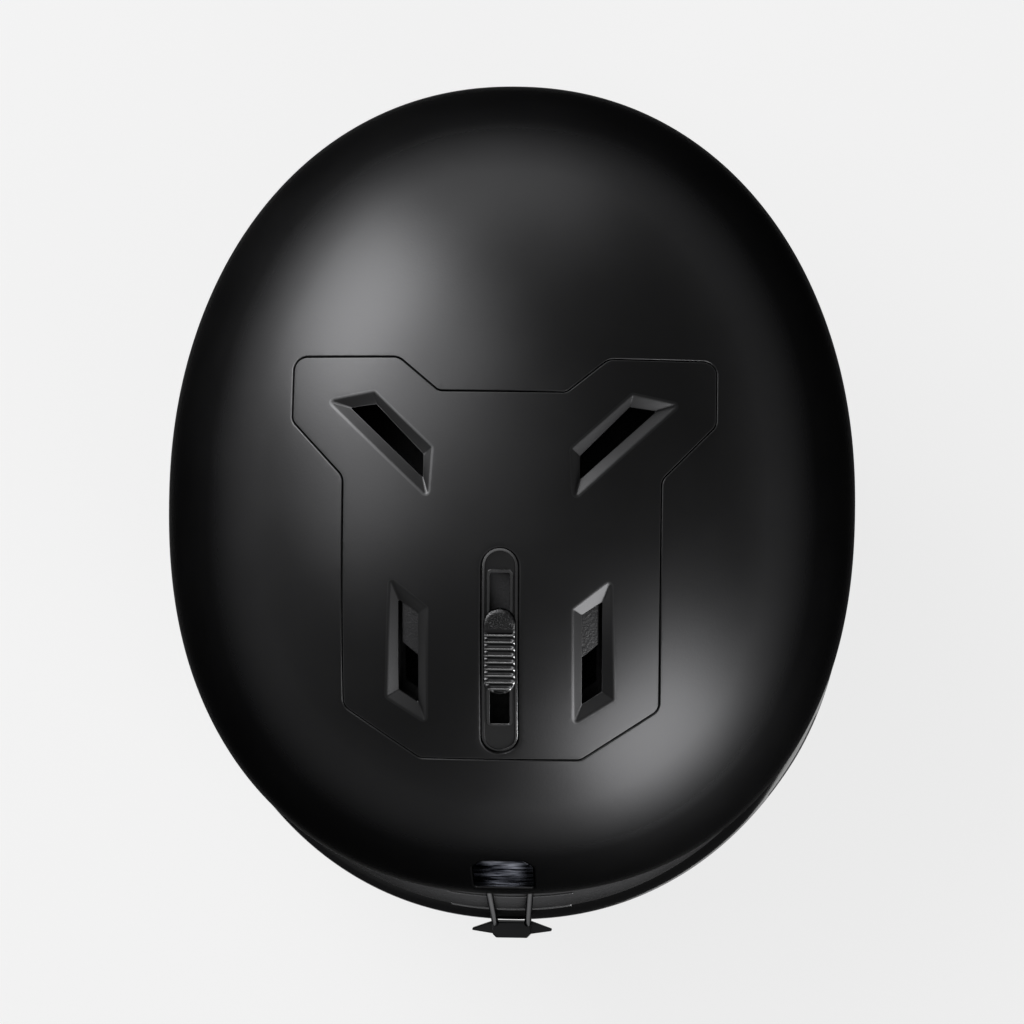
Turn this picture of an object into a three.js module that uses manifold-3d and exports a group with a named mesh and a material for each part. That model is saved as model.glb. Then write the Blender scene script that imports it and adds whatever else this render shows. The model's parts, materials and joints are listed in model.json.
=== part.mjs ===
// A ski and snowboard helmet, in millimetres: +Z up, front toward -Y, standing on its ear pads.
import * as THREE from 'three';
import { mergeVertices } from 'three/addons/utils/BufferGeometryUtils.js';
import Module from 'manifold-3d';

// ---- driving dimensions: the hard shell ----
const halfWidth = 116;
const frontReach = 142.5;
const rearReach = 130.5;
const crownRise = 115;
const equator = 97;
const tuckDepth = 400;
const frontSquareness = 2.12;
const rearSquareness = 2.25;
const frontRearBlend = 0.6;
const shellWall = 2.4;
const touchGap = 0.3;
const nestGap = 0.5;
const roundSteps = 48;
const crownSteps = 11;

// edges seen from the side: lower edge of the hard shell, and the rim of the helmet
const creaseSide = 96;
const creaseFrontDrop = 3;
const creaseRearDrop = 17;
const creaseLap = 6;
const earRim = 62;
const browRim = 90;
const napeRim = 40;
const earFlatFront = -48;
const earFlatRear = 42;

// lower shell: nape flare and edge trim
const lowerWall = 1.8;
const napeFlare = 12;
const cheekFlare = 1.6;
const flareTop = 79;
const flareBottom = 46;
const flareSquareness = 2.12;
const trimHeight = 4.6;
const trimLip = 2;
const trimRound = 0.6;
const trimProud = 2.4;
const trimNapeExtra = 1.8;
const trimCover = 6.5;

// foam liner and head cavity
const headHalfWidth = 85;
const headFront = 107;
const headRear = 100;
const headRise = 86;

// crown panel, half outline from the front edge back
const panelSeam = 0.6;
const panelFront = -47.8;
const panelNotch = -37;
const notchHalf = 20.4;
const notchShoulder = 33.6;
const browHalf = 68.3;
const browCorner = 4;
const browRear = -27.1;
const waistHalf = 51;
const waistFront = -9.4;
const waistRear = 64.6;
const tailHalf = 25.9;
const tailRear = 81.1;

// vents, right-hand side: opening and bevelled mouth
const frontVent = [[25.4, -16.9], [41.2, -33], [49.7, -31.8], [25.4, -9.4]];
const frontMouth = [[22.6, -18.8], [41.4, -36.2], [55.6, -33.4], [23.5, -3.8]];
const rearVent = [[33.1, 30.2], [33.1, 59.6], [26.7, 63.7], [26.7, 34.4]];
const ventDepth = 3.8;
const rearMouth = [[35, 23.6], [36.1, 61], [24.1, 68.5], [23.8, 32.4]];

// vent slider: everything here runs on one arc under the crown
const sliderMid = 47.4;
const sliderReach = 33.5;
const recessHalf = 6.15;
const recessLength = 70.5;
const recessDepth = 1.2;
const trackThickness = 1.2;
const slotHalf = 3.2;
const slotFront = -27;
const slotRear = 24.2;
const knobHalf = 5.2;
const knobLength = 29;
const knobProud = 1.1;
const knobMiddle = -1.4;
const neckLength = 14;
const slideTravel = 16;
const shutterThickness = 1.2;
const shutterHalf = 31.4;
const shutterDepth = 3.1;
const shutterDrop = 0.00475;
const shutterFront = -35;
const shutterEdgeHalf = 22;
const shutterEdgeIn = 5.7;
const shutterEdgeOut = -1.6;
const shutterTailHalf = 12;
const shutterTail = 9;
const pocketClearance = 0.6;

// rear badge plate
const badgeHalf = 10;
const badgeTop = 116.8;
const badgeFoot = 126.8;
const badgeWall = 1;
const badgeDepth = 1.6;
const badgeCorner = 3.2;
const badgeCornerDrop = 2;

// comfort pads
const padWall = 6.5;
const browPadLow = 92;
const browPadHigh = 122;
const browPadRear = -42;
const sidePadLow = 79;
const sidePadHigh = 108;
const sidePadFront = -28;
const sidePadRear = 52;
const crownPadHalf = 64;
const crownPadReach = 70;
const crownPadMiddle = 5;

// ear pads and their bars
const earSetIn = 5;
const earLean = 10;
const earPadWall = 20;
const earTopFront = -43;
const earTopRear = 38;
const earFootFront = -31;
const earFootRear = 27;
const earBarWall = 3;
const earBarInset = 8;

// harness
const webWall = 1.4;
const sideWebWidth = 15;
const chinWebWidth = 18;
const webTop = 72;
const anchorHeight = 67;
const anchorFront = -26;
const anchorRear = 27;
const anchorPin = 2.4;
const anchorHead = 5;
const anchorHeadWall = 1.5;
const anchorStandoff = 4.6;
const anchorLength = 16.6;
const dividerHeight = 12;
const dividerLow = 18;
const dividerWidth = 27;
const dividerWall = 3.6;
const harnessStation = -4;
const chinLevel = 6.7;
const chinBend = 9;

// buckle and chin pad, stations along X
const socketOuter = 53;
const socketInner = 23;
const buckleWidth = 26;
const buckleHeight = 9;
const buckleWall = 1.6;
const plugReach = 17;
const tongueLength = 21;
const tongueWidth = 18;
const tongueWall = 3;
const chinPadInner = -28;
const chinPadOuter = -62;
const chinPadWidth = 25;
const chinPadHeight = 7.4;

// fit system at the nape
const fitStation = 89;
const dialLevel = 24;
const housingHalf = 29;
const housingDepth = 10;
const housingHeight = 27;
const housingWall = 1.8;
const pitchRadius = 5;
const pinionTeeth = 10;
const toothAddendum = 0.8;
const toothDedendum = 1;
const gearPlay = 0.4;
const rackBack = 2.2;
const rackLength = 51;
const rackInner = -12;
const shaftRadius = 2.2;
const dialRadius = 15;
const dialDepth = 8;
const dialLobes = 12;
const armWall = 2.2;
const armHeight = 14;
const sleeveLength = 19;
const armHalf = 66;
const armFront = 50;
const armTab = 11;
const armPinLevel = 67;
const armPinReach = 82;
const napePadWall = 7;

// goggle retainer
const retainerPivotOut = 130.1;
const retainerPivotUp = 74;
const retainerWire = 1.2;
const retainerHalfTop = 7.3;
const retainerHalfFoot = 5.6;
const retainerDrop = 30.7;
const retainerOut = 15.1;
const retainerBaseHalf = 5.8;
const retainerBaseRise = 3.5;
const retainerBaseWall = 0.7;
const hookReach = 150;
const hookHalf = 6.6;
const hookChamfer = 1.2;
const hookHeight = 10;
const hookWingHalf = 13.9;
const hookWingTip = 2.6;
const hookWingEdge = 0.6;
const hookWingRise = 2;
const hookWingWall = 5;
const hookStandoff = 0.7;

const wasm = await Module();
wasm.setup();

// ---- small tools ----
function solid(geometry) {
  const bare = geometry.clone();
  bare.deleteAttribute('normal');
  bare.deleteAttribute('uv');
  const merged = mergeVertices(bare, 1e-4);
  const kept = [];
  const index = merged.index.array;
  for (let i = 0; i < index.length; i += 3) {
    const [a, b, c] = [index[i], index[i + 1], index[i + 2]];
    if (a !== b && b !== c && c !== a) kept.push(a, b, c);
  }
  const vertProperties = new Float32Array(merged.attributes.position.array);
  return new wasm.Manifold(new wasm.Mesh({ numProp: 3, vertProperties, triVerts: new Uint32Array(kept) }));
}

function surface(body) {
  const mesh = body.getMesh();
  const geometry = new THREE.BufferGeometry();
  geometry.setAttribute('position', new THREE.BufferAttribute(new Float32Array(mesh.vertProperties), 3));
  geometry.setIndex(new THREE.BufferAttribute(new Uint32Array(mesh.triVerts), 1));
  return geometry;
}

// moves every vertex of a geometry to where the rule puts it
function reshape(geometry, rule) {
  const place = geometry.attributes.position;
  const point = new THREE.Vector3();
  for (let i = 0; i < place.count; i += 1) {
    point.fromBufferAttribute(place, i);
    rule(point);
    place.setXYZ(i, point.x, point.y, point.z);
  }
  return geometry;
}

// a profile of [radius, height] pairs turned about +Z
function turned(profile, steps = roundSteps) {
  const points = profile.map(([r, h]) => new THREE.Vector2(r, h));
  return new THREE.LatheGeometry(points, steps).rotateX(Math.PI / 2);
}

function outline(points) {
  return new THREE.Shape(points.map(([u, v]) => new THREE.Vector2(u, v)));
}

function pulled(shape, depth) {
  return new THREE.ExtrudeGeometry(shape, { depth, bevelEnabled: false, curveSegments: 6 });
}

// shapes drawn in plan, standing from one height to another
function upright(shape, low, high) {
  return pulled(shape, high - low).translate(0, 0, low);
}

// shapes drawn from the side as [y, z], running across X
function crosswise(shape, from, to) {
  return reshape(pulled(shape, to - from), (p) => p.set(p.z + from, p.x, p.y));
}

// shapes drawn from the front as [x, z], running along Y
function lengthwise(shape, from, to) {
  return pulled(shape, to - from).rotateX(Math.PI / 2).translate(0, to, 0);
}

function block(x0, x1, y0, y1, z0, z1) {
  const geometry = new THREE.BoxGeometry(x1 - x0, y1 - y0, z1 - z0);
  return geometry.translate((x0 + x1) / 2, (y0 + y1) / 2, (z0 + z1) / 2);
}

// a pin along X, Y or Z
function pin(axis, radius, from, to, a, b, steps = 12) {
  const geometry = new THREE.CylinderGeometry(radius, radius, to - from, steps);
  const middle = (from + to) / 2;
  if (axis === 'x') return geometry.rotateZ(Math.PI / 2).translate(middle, a, b);
  if (axis === 'y') return geometry.translate(a, middle, b);
  return geometry.rotateX(Math.PI / 2).translate(a, b, middle);
}

function mirrored(points) {
  return points.map(([x, y]) => [-x, y]).reverse();
}

function smooth(from, to, value) {
  return THREE.MathUtils.smoothstep(value, from, to);
}

function finish(color, roughness, metalness = 0) {
  return new THREE.MeshStandardMaterial({ color, roughness, metalness, side: THREE.DoubleSide });
}

const shellBlack = finish(0x1b1b1d, 0.42);
const bandGrey = finish(0x4a4b4e, 0.6);
const glossBlack = finish(0x0d0d0e, 0.2);
const platedGrey = finish(0x8d949c, 0.35, 1);
const foam = finish(0x262628, 0.9);
const padCloth = finish(0x2a2a2d, 0.95);
const webbing = finish(0x161617, 0.85);
const nylon = finish(0x202022, 0.5);
const steel = finish(0xb9bcc0, 0.3, 1);

// ---- the head-shaped surfaces ----
function bent(value, squareness) {
  return Math.sign(value) * Math.abs(value) ** (2 / squareness);
}

// how far a bearing, given by its sine, counts as front (0) or rear (1)
function rearShare(sine) {
  return smooth(-frontRearBlend, frontRearBlend, sine);
}

// the plan is an ellipse at the crown and grows squarer toward the widest line
function squareness(sine, share, rearPower) {
  return 2 + (THREE.MathUtils.lerp(frontSquareness, rearPower, rearShare(sine)) - 2) * share ** 4;
}

// a point of the plan outline at a share of its full size, at a turn from +X toward +Y
function planPoint(turn, share, half, front, rear, rearPower) {
  const sine = Math.sin(turn);
  const power = squareness(sine, share, rearPower);
  const reach = THREE.MathUtils.lerp(front, rear, rearShare(sine));
  return [half * share * bent(Math.cos(turn), power), reach * share * bent(sine, power)];
}

// a closed dome whose plan shrinks toward the crown as an ellipse does
function dome(half, front, rear, rise, foot, tuck) {
  const profile = [[0, foot]];
  for (let i = 0; i < 4; i += 1) {
    const height = foot + ((equator - foot) * i) / 4;
    profile.push([Math.sqrt(1 - ((equator - height) / tuck) ** 2), height]);
  }
  for (let i = 0; i < crownSteps; i += 1) {
    const tilt = (Math.PI / 2) * (i / crownSteps);
    profile.push([Math.cos(tilt), equator + rise * Math.sin(tilt)]);
  }
  profile.push([0, equator + rise]);
  return solid(reshape(turned(profile), (p) => {
    const share = Math.hypot(p.x, p.y);
    const [x, y] = planPoint(Math.atan2(p.y, p.x), share, half, front, rear, rearSquareness);
    p.set(x, y, p.z);
  }));
}

function shellDome(inset) {
  return dome(halfWidth - inset, frontReach - inset, rearReach - inset, crownRise - inset, 30, tuckDepth);
}

function headDome(inset) {
  return dome(headHalfWidth - inset, headFront - inset, headRear - inset, headRise - inset, 5, 1000);
}

// the lower shell runs straight down at the sides and flares out over the nape
function skirtPoint(turn, height, inset) {
  const flare = 1 - smooth(flareBottom, flareTop, height);
  const rearness = smooth(0, 0.5, Math.sin(turn));
  const back = shellWall + nestGap + inset;
  const half = halfWidth - back + cheekFlare * flare * rearness;
  const rear = rearReach - back + napeFlare * flare;
  const power = THREE.MathUtils.lerp(rearSquareness, flareSquareness, flare);
  return planPoint(turn, 1, half, frontReach - back, rear, power);
}

function skirt(inset) {
  const heights = [25, 36, 46, 54, 62, 70, 79, 88, 97, 108];
  const profile = [[0, heights[0]], ...heights.map((h) => [1, h]), [0, heights.at(-1)]];
  return solid(reshape(turned(profile), (p) => {
    const share = Math.hypot(p.x, p.y) > 0.5 ? 1 : 0;
    const [x, y] = skirtPoint(Math.atan2(p.y, p.x), p.z, inset);
    p.set(x * share, y * share, p.z);
  }));
}

function rimHeight(y) {
  const rise = (browRim - earRim) * (1 - smooth(-128, earFlatFront, y));
  return earRim + rise - (earRim - napeRim) * smooth(earFlatRear, 108, y);
}

function creaseHeight(y) {
  return creaseSide - creaseFrontDrop * (1 - smooth(-140, -20, y)) - creaseRearDrop * smooth(20, 132, y);
}

const sideStations = Array.from({ length: 33 }, (_, i) => -160 + i * 10);

function above(heightAt, lift = 0) {
  const edge = sideStations.map((y) => [y, heightAt(y) + lift]);
  return solid(crosswise(outline([...edge, [160, 260], [-160, 260]]), -150, 150));
}

function between(lowAt, highAt, lift) {
  const low = sideStations.map((y) => [y, lowAt(y)]);
  const high = sideStations.map((y) => [y, highAt(y) + lift]).reverse();
  return solid(crosswise(outline([...low, ...high]), -150, 150));
}

// ---- crown panel and vents ----
function panelOutline(grow) {
  const half = [
    [0, panelNotch - grow],
    [notchHalf - grow, panelNotch - grow],
    [notchShoulder - grow, panelFront - grow],
    [browHalf + grow - browCorner, panelFront - grow],
    [browHalf + grow, panelFront - grow + browCorner],
    [browHalf + grow, browRear + grow],
    [waistHalf + grow, waistFront + grow],
    [waistHalf + grow, waistRear + grow],
    [tailHalf + grow, tailRear + grow],
    [0, tailRear + grow],
  ];
  return outline([...half, ...mirrored(half.slice(1, -1))]);
}

// height of the hard shell's skin over a point in plan, found by closing in on its bearing
function skinHeight(x, y) {
  let share = 0.5;
  let sine = Math.sign(y) * 0.5;
  for (let i = 0; i < 12; i += 1) {
    const power = squareness(sine, share, rearSquareness);
    const along = Math.abs(y) / THREE.MathUtils.lerp(frontReach, rearReach, rearShare(sine));
    share = ((Math.abs(x) / halfWidth) ** power + along ** power) ** (1 / power);
    sine = Math.sign(y) * Math.min(1, along / share) ** (power / 2);
  }
  return equator + crownRise * Math.sqrt(Math.max(0, 1 - share ** 2));
}

// an opening that widens from below the wall to its bevelled mouth at the skin, and on past it
function ventCut(opening, mouth) {
  const widen = 1.9;
  const sides = reshape(upright(outline(mouth), 0, 1), (p) => {
    const corner = mouth.findIndex(([x, y]) => Math.hypot(x - p.x, y - p.y) < 0.01);
    const [x, y] = opening[corner];
    const foot = skinHeight(x, y) - ventDepth;
    const spread = p.z > 0.5 ? widen : 0;
    const mouthSkin = skinHeight(...mouth[corner]);
    p.set(x + (p.x - x) * spread, y + (p.y - y) * spread, foot + (mouthSkin - foot) * spread);
  });
  return solid(sides);
}

function ventPrism(opening, low) {
  return solid(upright(outline(opening), low, 260));
}

// a vent on the right and its mirror on the left; mirroring keeps the corners paired
function ventPair(opening, mouth) {
  return ventCut(opening, mouth).add(ventCut(mirrored(opening), mirrored(mouth)));
}

function channelPair(opening, low) {
  return ventPrism(opening, low).add(ventPrism(mirrored(opening), low));
}

// ---- the slider arc: a circle through three points of the crown's centre line ----
function crownLine(y) {
  return [y, skinHeight(0, y)];
}

function circleThrough([ax, ay], [bx, by], [cx, cy]) {
  const d = 2 * (ax * (by - cy) + bx * (cy - ay) + cx * (ay - by));
  const [a2, b2, c2] = [ax * ax + ay * ay, bx * bx + by * by, cx * cx + cy * cy];
  const y = (a2 * (by - cy) + b2 * (cy - ay) + c2 * (ay - by)) / d;
  const z = (a2 * (cx - bx) + b2 * (ax - cx) + c2 * (bx - ax)) / d;
  return { y, z, radius: Math.hypot(ax - y, ay - z) };
}

const arcStations = [sliderMid - sliderReach, sliderMid, sliderMid + sliderReach];
const arc = circleThrough(...arcStations.map(crownLine));
const arcLean = Math.atan2(sliderMid - arc.y, crownLine(sliderMid)[1] - arc.z);

// pieces of the slider are drawn about the arc's centre, with +Z out through the knob
const sliderGroup = new THREE.Group();
sliderGroup.position.set(0, arc.y, arc.z);
sliderGroup.rotation.x = -arcLean;
sliderGroup.updateMatrix();

function fromSlider(geometry) {
  return solid(geometry.clone().applyMatrix4(sliderGroup.matrix));
}

// a ring about the slider's axis, from one depth under the skin to another
function arcRing(deep, shallow, half, drop = 0) {
  const across = drop ? 8 : 1;
  const xs = Array.from({ length: across + 1 }, (_, i) => -half + (2 * half * i) / across);
  const under = (x) => drop * x * x;
  const outer = xs.map((x) => [arc.radius - shallow - under(x), x]);
  const inner = xs.map((x) => [arc.radius - deep - under(x), x]).reverse();
  const profile = [...outer, ...inner, outer[0]];
  return turned(profile, 120).rotateY(Math.PI / 2);
}

function racetrack(half, length, low, high) {
  const shape = new THREE.Shape();
  const straight = length / 2 - half;
  shape.moveTo(half, -straight);
  shape.lineTo(half, straight);
  shape.absarc(0, straight, half, 0, Math.PI, false);
  shape.lineTo(-half, -straight);
  shape.absarc(0, -straight, half, Math.PI, Math.PI * 2, false);
  return upright(shape, low, high);
}

const overArc = arc.radius + 20;
const underArc = arc.radius - 30;

function sliderTrack() {
  const plate = solid(arcRing(recessDepth + trackThickness, recessDepth, recessHalf + 1));
  const cut = racetrack(recessHalf - touchGap, recessLength - 2 * touchGap, underArc, overArc);
  const slot = block(-slotHalf, slotHalf, slotFront, slotRear, underArc, overArc);
  return plate.intersect(solid(cut)).subtract(solid(slot));
}

function sliderKnob() {
  const top = solid(arcRing(recessDepth - touchGap, -knobProud, recessHalf));
  const outlineOfGrip = racetrack(knobHalf, knobLength, underArc, overArc).translate(0, knobMiddle, 0);
  const grip = top.intersect(solid(outlineOfGrip));
  const neckRing = solid(arcRing(shutterDepth - touchGap, 0, recessHalf));
  const neck = neckRing.intersect(solid(racetrack(slotHalf - 0.4, neckLength, underArc, overArc)));
  const bore = solid(pin('z', 1.4, underArc, arc.radius - 0.6, 0, 0));
  return grip.add(neck).subtract(bore);
}

function shutterOutline(grow) {
  const half = [
    [0, shutterFront - grow],
    [shutterHalf + grow, shutterFront - grow],
    [shutterHalf + grow, shutterEdgeOut + grow],
    [shutterEdgeHalf, shutterEdgeIn + grow],
    [shutterTailHalf, shutterTail + grow],
    [0, shutterTail + grow],
  ];
  return outline([...half, ...mirrored(half.slice(1, -1))]);
}

function ventShutter() {
  const ring = solid(arcRing(shutterDepth + shutterThickness, shutterDepth, shutterHalf + 1, shutterDrop));
  const plate = ring.intersect(solid(upright(shutterOutline(0), underArc, overArc)));
  return plate.subtract(solid(pin('z', 1.4, underArc, overArc, 0, 0)));
}

function shutterScrew() {
  const headTop = arc.radius - shutterDepth - shutterThickness - touchGap;
  const head = solid(pin('z', 3, headTop - 1.5, headTop, 0, 0));
  return head.add(solid(pin('z', 1.1, headTop - 0.5, arc.radius - 1, 0, 0, 8)));
}

// the room that the shutter, its screw and the screw's travel need in the foam
function sliderPocket() {
  const deep = shutterDepth + shutterThickness + pocketClearance;
  const ring = solid(arcRing(deep, -8, shutterHalf + 3, shutterDrop));
  const room = shutterOutline(0);
  const reach = slideTravel + 2.5;
  const moved = (d) => solid(upright(room, underArc, overArc)).translate([0, d, 0]);
  const wide = solid(block(-shutterHalf - 1, shutterHalf + 1, shutterFront - reach, shutterTail + reach,
    underArc, overArc));
  const groove = solid(block(-4.2, 4.2, -reach - 3, reach + 3, arc.radius - deep - 2.6, overArc));
  return ring.intersect(wide.add(moved(0))).add(groove);
}

// ---- hard shell, crown panel, badge ----
const crownShell = shellDome(0).subtract(shellDome(shellWall)).intersect(above(creaseHeight));
const slideTrackHole = fromSlider(racetrack(recessHalf, recessLength, underArc, overArc));

function badgePrism(grow) {
  const half = [
    [0, badgeTop - grow],
    [badgeHalf - badgeCorner, badgeTop - grow],
    [badgeHalf + grow, badgeTop + badgeCornerDrop],
    [badgeHalf + grow, badgeFoot + grow],
    [0, badgeFoot + grow],
  ];
  return solid(upright(outline([...half, ...mirrored(half.slice(1, -1))]), 100, 260));
}

function outerShell() {
  const opening = solid(upright(panelOutline(panelSeam), 100, 260));
  const recess = badgePrism(touchGap).subtract(shellDome(badgeDepth));
  return crownShell.subtract(opening).subtract(recess);
}

function crownPanel() {
  const piece = crownShell.intersect(solid(upright(panelOutline(0), 100, 260)));
  return piece.subtract(ventPair(frontVent, frontMouth)).subtract(ventPair(rearVent, rearMouth))
    .subtract(slideTrackHole);
}

function rearBadge() {
  const skin = badgeDepth - touchGap - badgeWall;
  return shellDome(skin).subtract(shellDome(skin + badgeWall)).intersect(badgePrism(0));
}

// ---- lower shell, trim and foam ----
function lowerShell() {
  return skirt(0).subtract(skirt(lowerWall)).intersect(between(rimHeight, creaseHeight, creaseLap));
}

function edgeTrim() {
  const section = [[-trimCover, trimLip], [1 - trimRound, trimLip], [1, -2 * trimRound],
    [1, -trimHeight + 2 * trimRound], [-trimRound, -trimHeight], [-trimCover, -trimHeight + 1]];
  const closed = [...section, section[0]].map(([u, v]) => [50 + u, v]).reverse();
  const bead = solid(reshape(turned(closed), (p) => {
    const turn = Math.atan2(p.y, p.x);
    const [, guess] = skirtPoint(turn, earRim, 0);
    const [, station] = skirtPoint(turn, rimHeight(guess), 0);
    const edge = rimHeight(station);
    const across = Math.hypot(p.x, p.y) - 50;
    const proud = trimProud + trimNapeExtra * smooth(0, 0.6, Math.sin(turn));
    const [x, y] = skirtPoint(turn, edge, across > 0 ? -across * proud : -across);
    p.set(x, y, edge - touchGap + p.z);
  }));
  return bead.subtract(above(rimHeight, -touchGap));
}

const earInnerTop = headHalfWidth - earSetIn;
const earTop = earRim - touchGap - earBarWall - touchGap;
const earPegs = [-12, 12];
const earBarHalf = 7;
const earBarMiddle = earInnerTop + earPadWall / 2;

function epsLiner() {
  const upper = shellDome(shellWall + touchGap)
    .intersect(above(creaseHeight, creaseLap + touchGap));
  const whole = upper.add(skirt(lowerWall + touchGap)).intersect(above(rimHeight));
  let foamBody = whole.subtract(headDome(0))
    .subtract(channelPair(frontVent, equator + 40))
    .subtract(channelPair(rearVent, equator + 40))
    .subtract(sliderPocket().transform(sliderMatrix()));
  for (const side of [-1, 1]) {
    const anchorEnd = earInnerTop - anchorStandoff + anchorLength + 1;
    for (const [y, z, far] of [[anchorFront, anchorHeight, anchorEnd], [anchorRear, anchorHeight, anchorEnd],
      [armFront + armTab / 2, armPinLevel, armPinReach + 1]]) {
      foamBody = foamBody.subtract(sidePin(side, anchorPin + touchGap, 60, far, y, z));
    }
    for (const y of earPegs) {
      foamBody = foamBody.subtract(solid(pin('z', 2.8, 50, earRim + 8, side * earBarMiddle, y)));
    }
  }
  return foamBody;
}

function sliderMatrix() {
  return sliderGroup.matrix.toArray();
}

// an X range on the left, or its mirror on the right
function span(side, near, far) {
  return side > 0 ? [near, far] : [-far, -near];
}

function sidePin(side, radius, from, to, y, z, steps = 12) {
  return solid(pin('x', radius, ...span(side, from, to), y, z, steps));
}

// ---- comfort pads ----
const padLayer = headDome(touchGap).subtract(headDome(touchGap + padWall));

function browPad() {
  return padLayer.intersect(solid(block(-62, 62, -140, browPadRear, browPadLow, browPadHigh)));
}

function sidePad(side) {
  const [near, far] = side > 0 ? [40, 140] : [-140, -40];
  return padLayer.intersect(solid(block(near, far, sidePadFront, sidePadRear, sidePadLow, sidePadHigh)));
}

function crownPad() {
  const spread = new THREE.CylinderGeometry(1, 1, 200, 24).rotateX(Math.PI / 2);
  return padLayer.intersect(solid(spread.scale(crownPadHalf, crownPadReach, 1).translate(0, crownPadMiddle, 200)));
}

// ---- ear pads and harness ----
function earInner(z) {
  return earInnerTop - earLean * (1 - Math.min(z, earTop) / earTop);
}

// a flat shape in the [y, z] plane, laid against the leaning inner face of the ear pad
function leaning(shape, near, wall, side) {
  const geometry = crosswise(shape, near, near + wall);
  reshape(geometry, (p) => p.setX(p.x + earInner(p.z)));
  return side > 0 ? solid(geometry) : solid(geometry).mirror([1, 0, 0]);
}

function earPad(side) {
  const shape = new THREE.Shape();
  shape.moveTo(earFootFront, 0);
  shape.lineTo(earFootRear, 0);
  shape.bezierCurveTo(earFootRear + 12, 4, earTopRear + 4, 26, earTopRear, earTop);
  shape.lineTo(earTopFront, earTop);
  shape.bezierCurveTo(earTopFront - 4, 26, earFootFront - 12, 5, earFootFront, 0);
  return leaning(shape, 0, earPadWall, side);
}

function earBar(side) {
  const middle = side * earBarMiddle;
  let bar = solid(block(middle - earBarHalf, middle + earBarHalf, earTopFront + earBarInset, earTopRear - earBarInset,
    earTop + touchGap, earRim - touchGap));
  for (const y of earPegs) bar = bar.add(solid(pin('z', 2.4, earTop + 1, earRim + 7, middle, y, 10)));
  return bar;
}

function sideWeb(side, station, towardRear) {
  const half = sideWebWidth / 2;
  const foot = dividerLow + dividerHeight + touchGap;
  const middle = harnessStation + (towardRear ? 1 : -1) * (dividerWidth / 4);
  const footHalf = dividerWidth / 4 - 0.5;
  const shape = outline([[station - half, webTop], [middle - footHalf, foot], [middle + footHalf, foot],
    [station + half, webTop]]);
  const web = leaning(shape, -touchGap - webWall, webWall, side);
  return web.subtract(sidePin(side, anchorPin + touchGap, 60, 100, station, anchorHeight));
}

function webAnchor(side, station) {
  const face = earInnerTop - anchorStandoff;
  const head = sidePin(side, anchorHead, face, face + anchorHeadWall, station, anchorHeight, 16);
  return head.add(sidePin(side, anchorPin, face + 0.5, face + anchorLength, station, anchorHeight));
}

function webDivider(side) {
  const [front, rear] = [harnessStation - dividerWidth / 2, harnessStation + dividerWidth / 2];
  const high = dividerLow + dividerHeight;
  const shape = outline([[front, high], [front, dividerLow + 4], [front + 4, dividerLow],
    [rear - 4, dividerLow], [rear, dividerLow + 4], [rear, high]]);
  return leaning(shape, -touchGap - dividerWall, dividerWall, side);
}

// the chin webbing drops from its divider and turns in under the chin
function chinWeb(side, end) {
  const low = dividerLow - touchGap;
  const outer = earInner(0) + 1.2;
  const [cx, cz] = [outer - webWall / 2 - chinBend, chinLevel + chinBend];
  const half = webWall / 2;
  const shape = new THREE.Shape();
  shape.moveTo(outer, low);
  shape.lineTo(outer, cz);
  shape.absarc(cx, cz, chinBend + half, 0, -Math.PI / 2, true);
  shape.lineTo(end, chinLevel - half);
  shape.lineTo(end, chinLevel + half);
  shape.absarc(cx, cz, chinBend - half, -Math.PI / 2, 0, false);
  shape.lineTo(outer - webWall, low);
  const near = harnessStation - chinWebWidth / 2;
  const web = solid(lengthwise(shape, near, near + chinWebWidth));
  return side > 0 ? web : web.mirror([1, 0, 0]);
}

// ---- buckle and chin pad ----
const tongueLevel = chinLevel - webWall / 2 - touchGap - tongueWall / 2 - 0.2;
const buckleFoot = tongueLevel - tongueWall / 2 - touchGap - buckleWall;

function aroundHarness(x0, x1, width, z0, z1) {
  return block(x0, x1, harnessStation - width / 2, harnessStation + width / 2, z0, z1);
}

function buckleSocket() {
  const high = buckleFoot + buckleHeight;
  const body = solid(aroundHarness(socketInner, socketOuter, buckleWidth, buckleFoot, high));
  const pocket = aroundHarness(socketInner - 5, socketInner + tongueLength + 1.5, tongueWidth + 2 * touchGap,
    tongueLevel - tongueWall / 2 - touchGap, tongueLevel + tongueWall / 2 + touchGap);
  return body.subtract(solid(pocket));
}

function bucklePlug() {
  const face = socketInner - touchGap;
  const high = buckleFoot + buckleHeight;
  const body = solid(aroundHarness(face - plugReach, face, buckleWidth, buckleFoot, high));
  const slot = aroundHarness(face - plugReach - 5, face + 5, chinWebWidth + 2 * touchGap,
    chinLevel - webWall / 2 - touchGap, chinLevel + webWall / 2 + touchGap);
  const tongue = aroundHarness(face - 1, face + tongueLength, tongueWidth,
    tongueLevel - tongueWall / 2, tongueLevel + tongueWall / 2);
  return body.subtract(solid(slot)).add(solid(tongue));
}

function chinPad() {
  const low = chinLevel - chinPadHeight / 2;
  const body = solid(aroundHarness(chinPadOuter, chinPadInner, chinPadWidth, low, low + chinPadHeight));
  return body.subtract(solid(aroundHarness(chinPadOuter - 5, chinPadInner + 5, chinWebWidth + 2 * touchGap,
    chinLevel - webWall / 2 - touchGap, chinLevel + webWall / 2 + touchGap)));
}

// ---- fit system ----
const gearFrom = fitStation - housingDepth / 2 + housingWall + gearPlay;
const gearTo = fitStation + housingDepth / 2 - housingWall - gearPlay;
const housingFoot = dialLevel - housingHeight / 2;
const dialFrom = fitStation + housingDepth / 2 + touchGap;
const toothPitch = (2 * Math.PI * pitchRadius) / pinionTeeth;
const toothTip = 0.4;
const toothRoot = 0.85;

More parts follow.
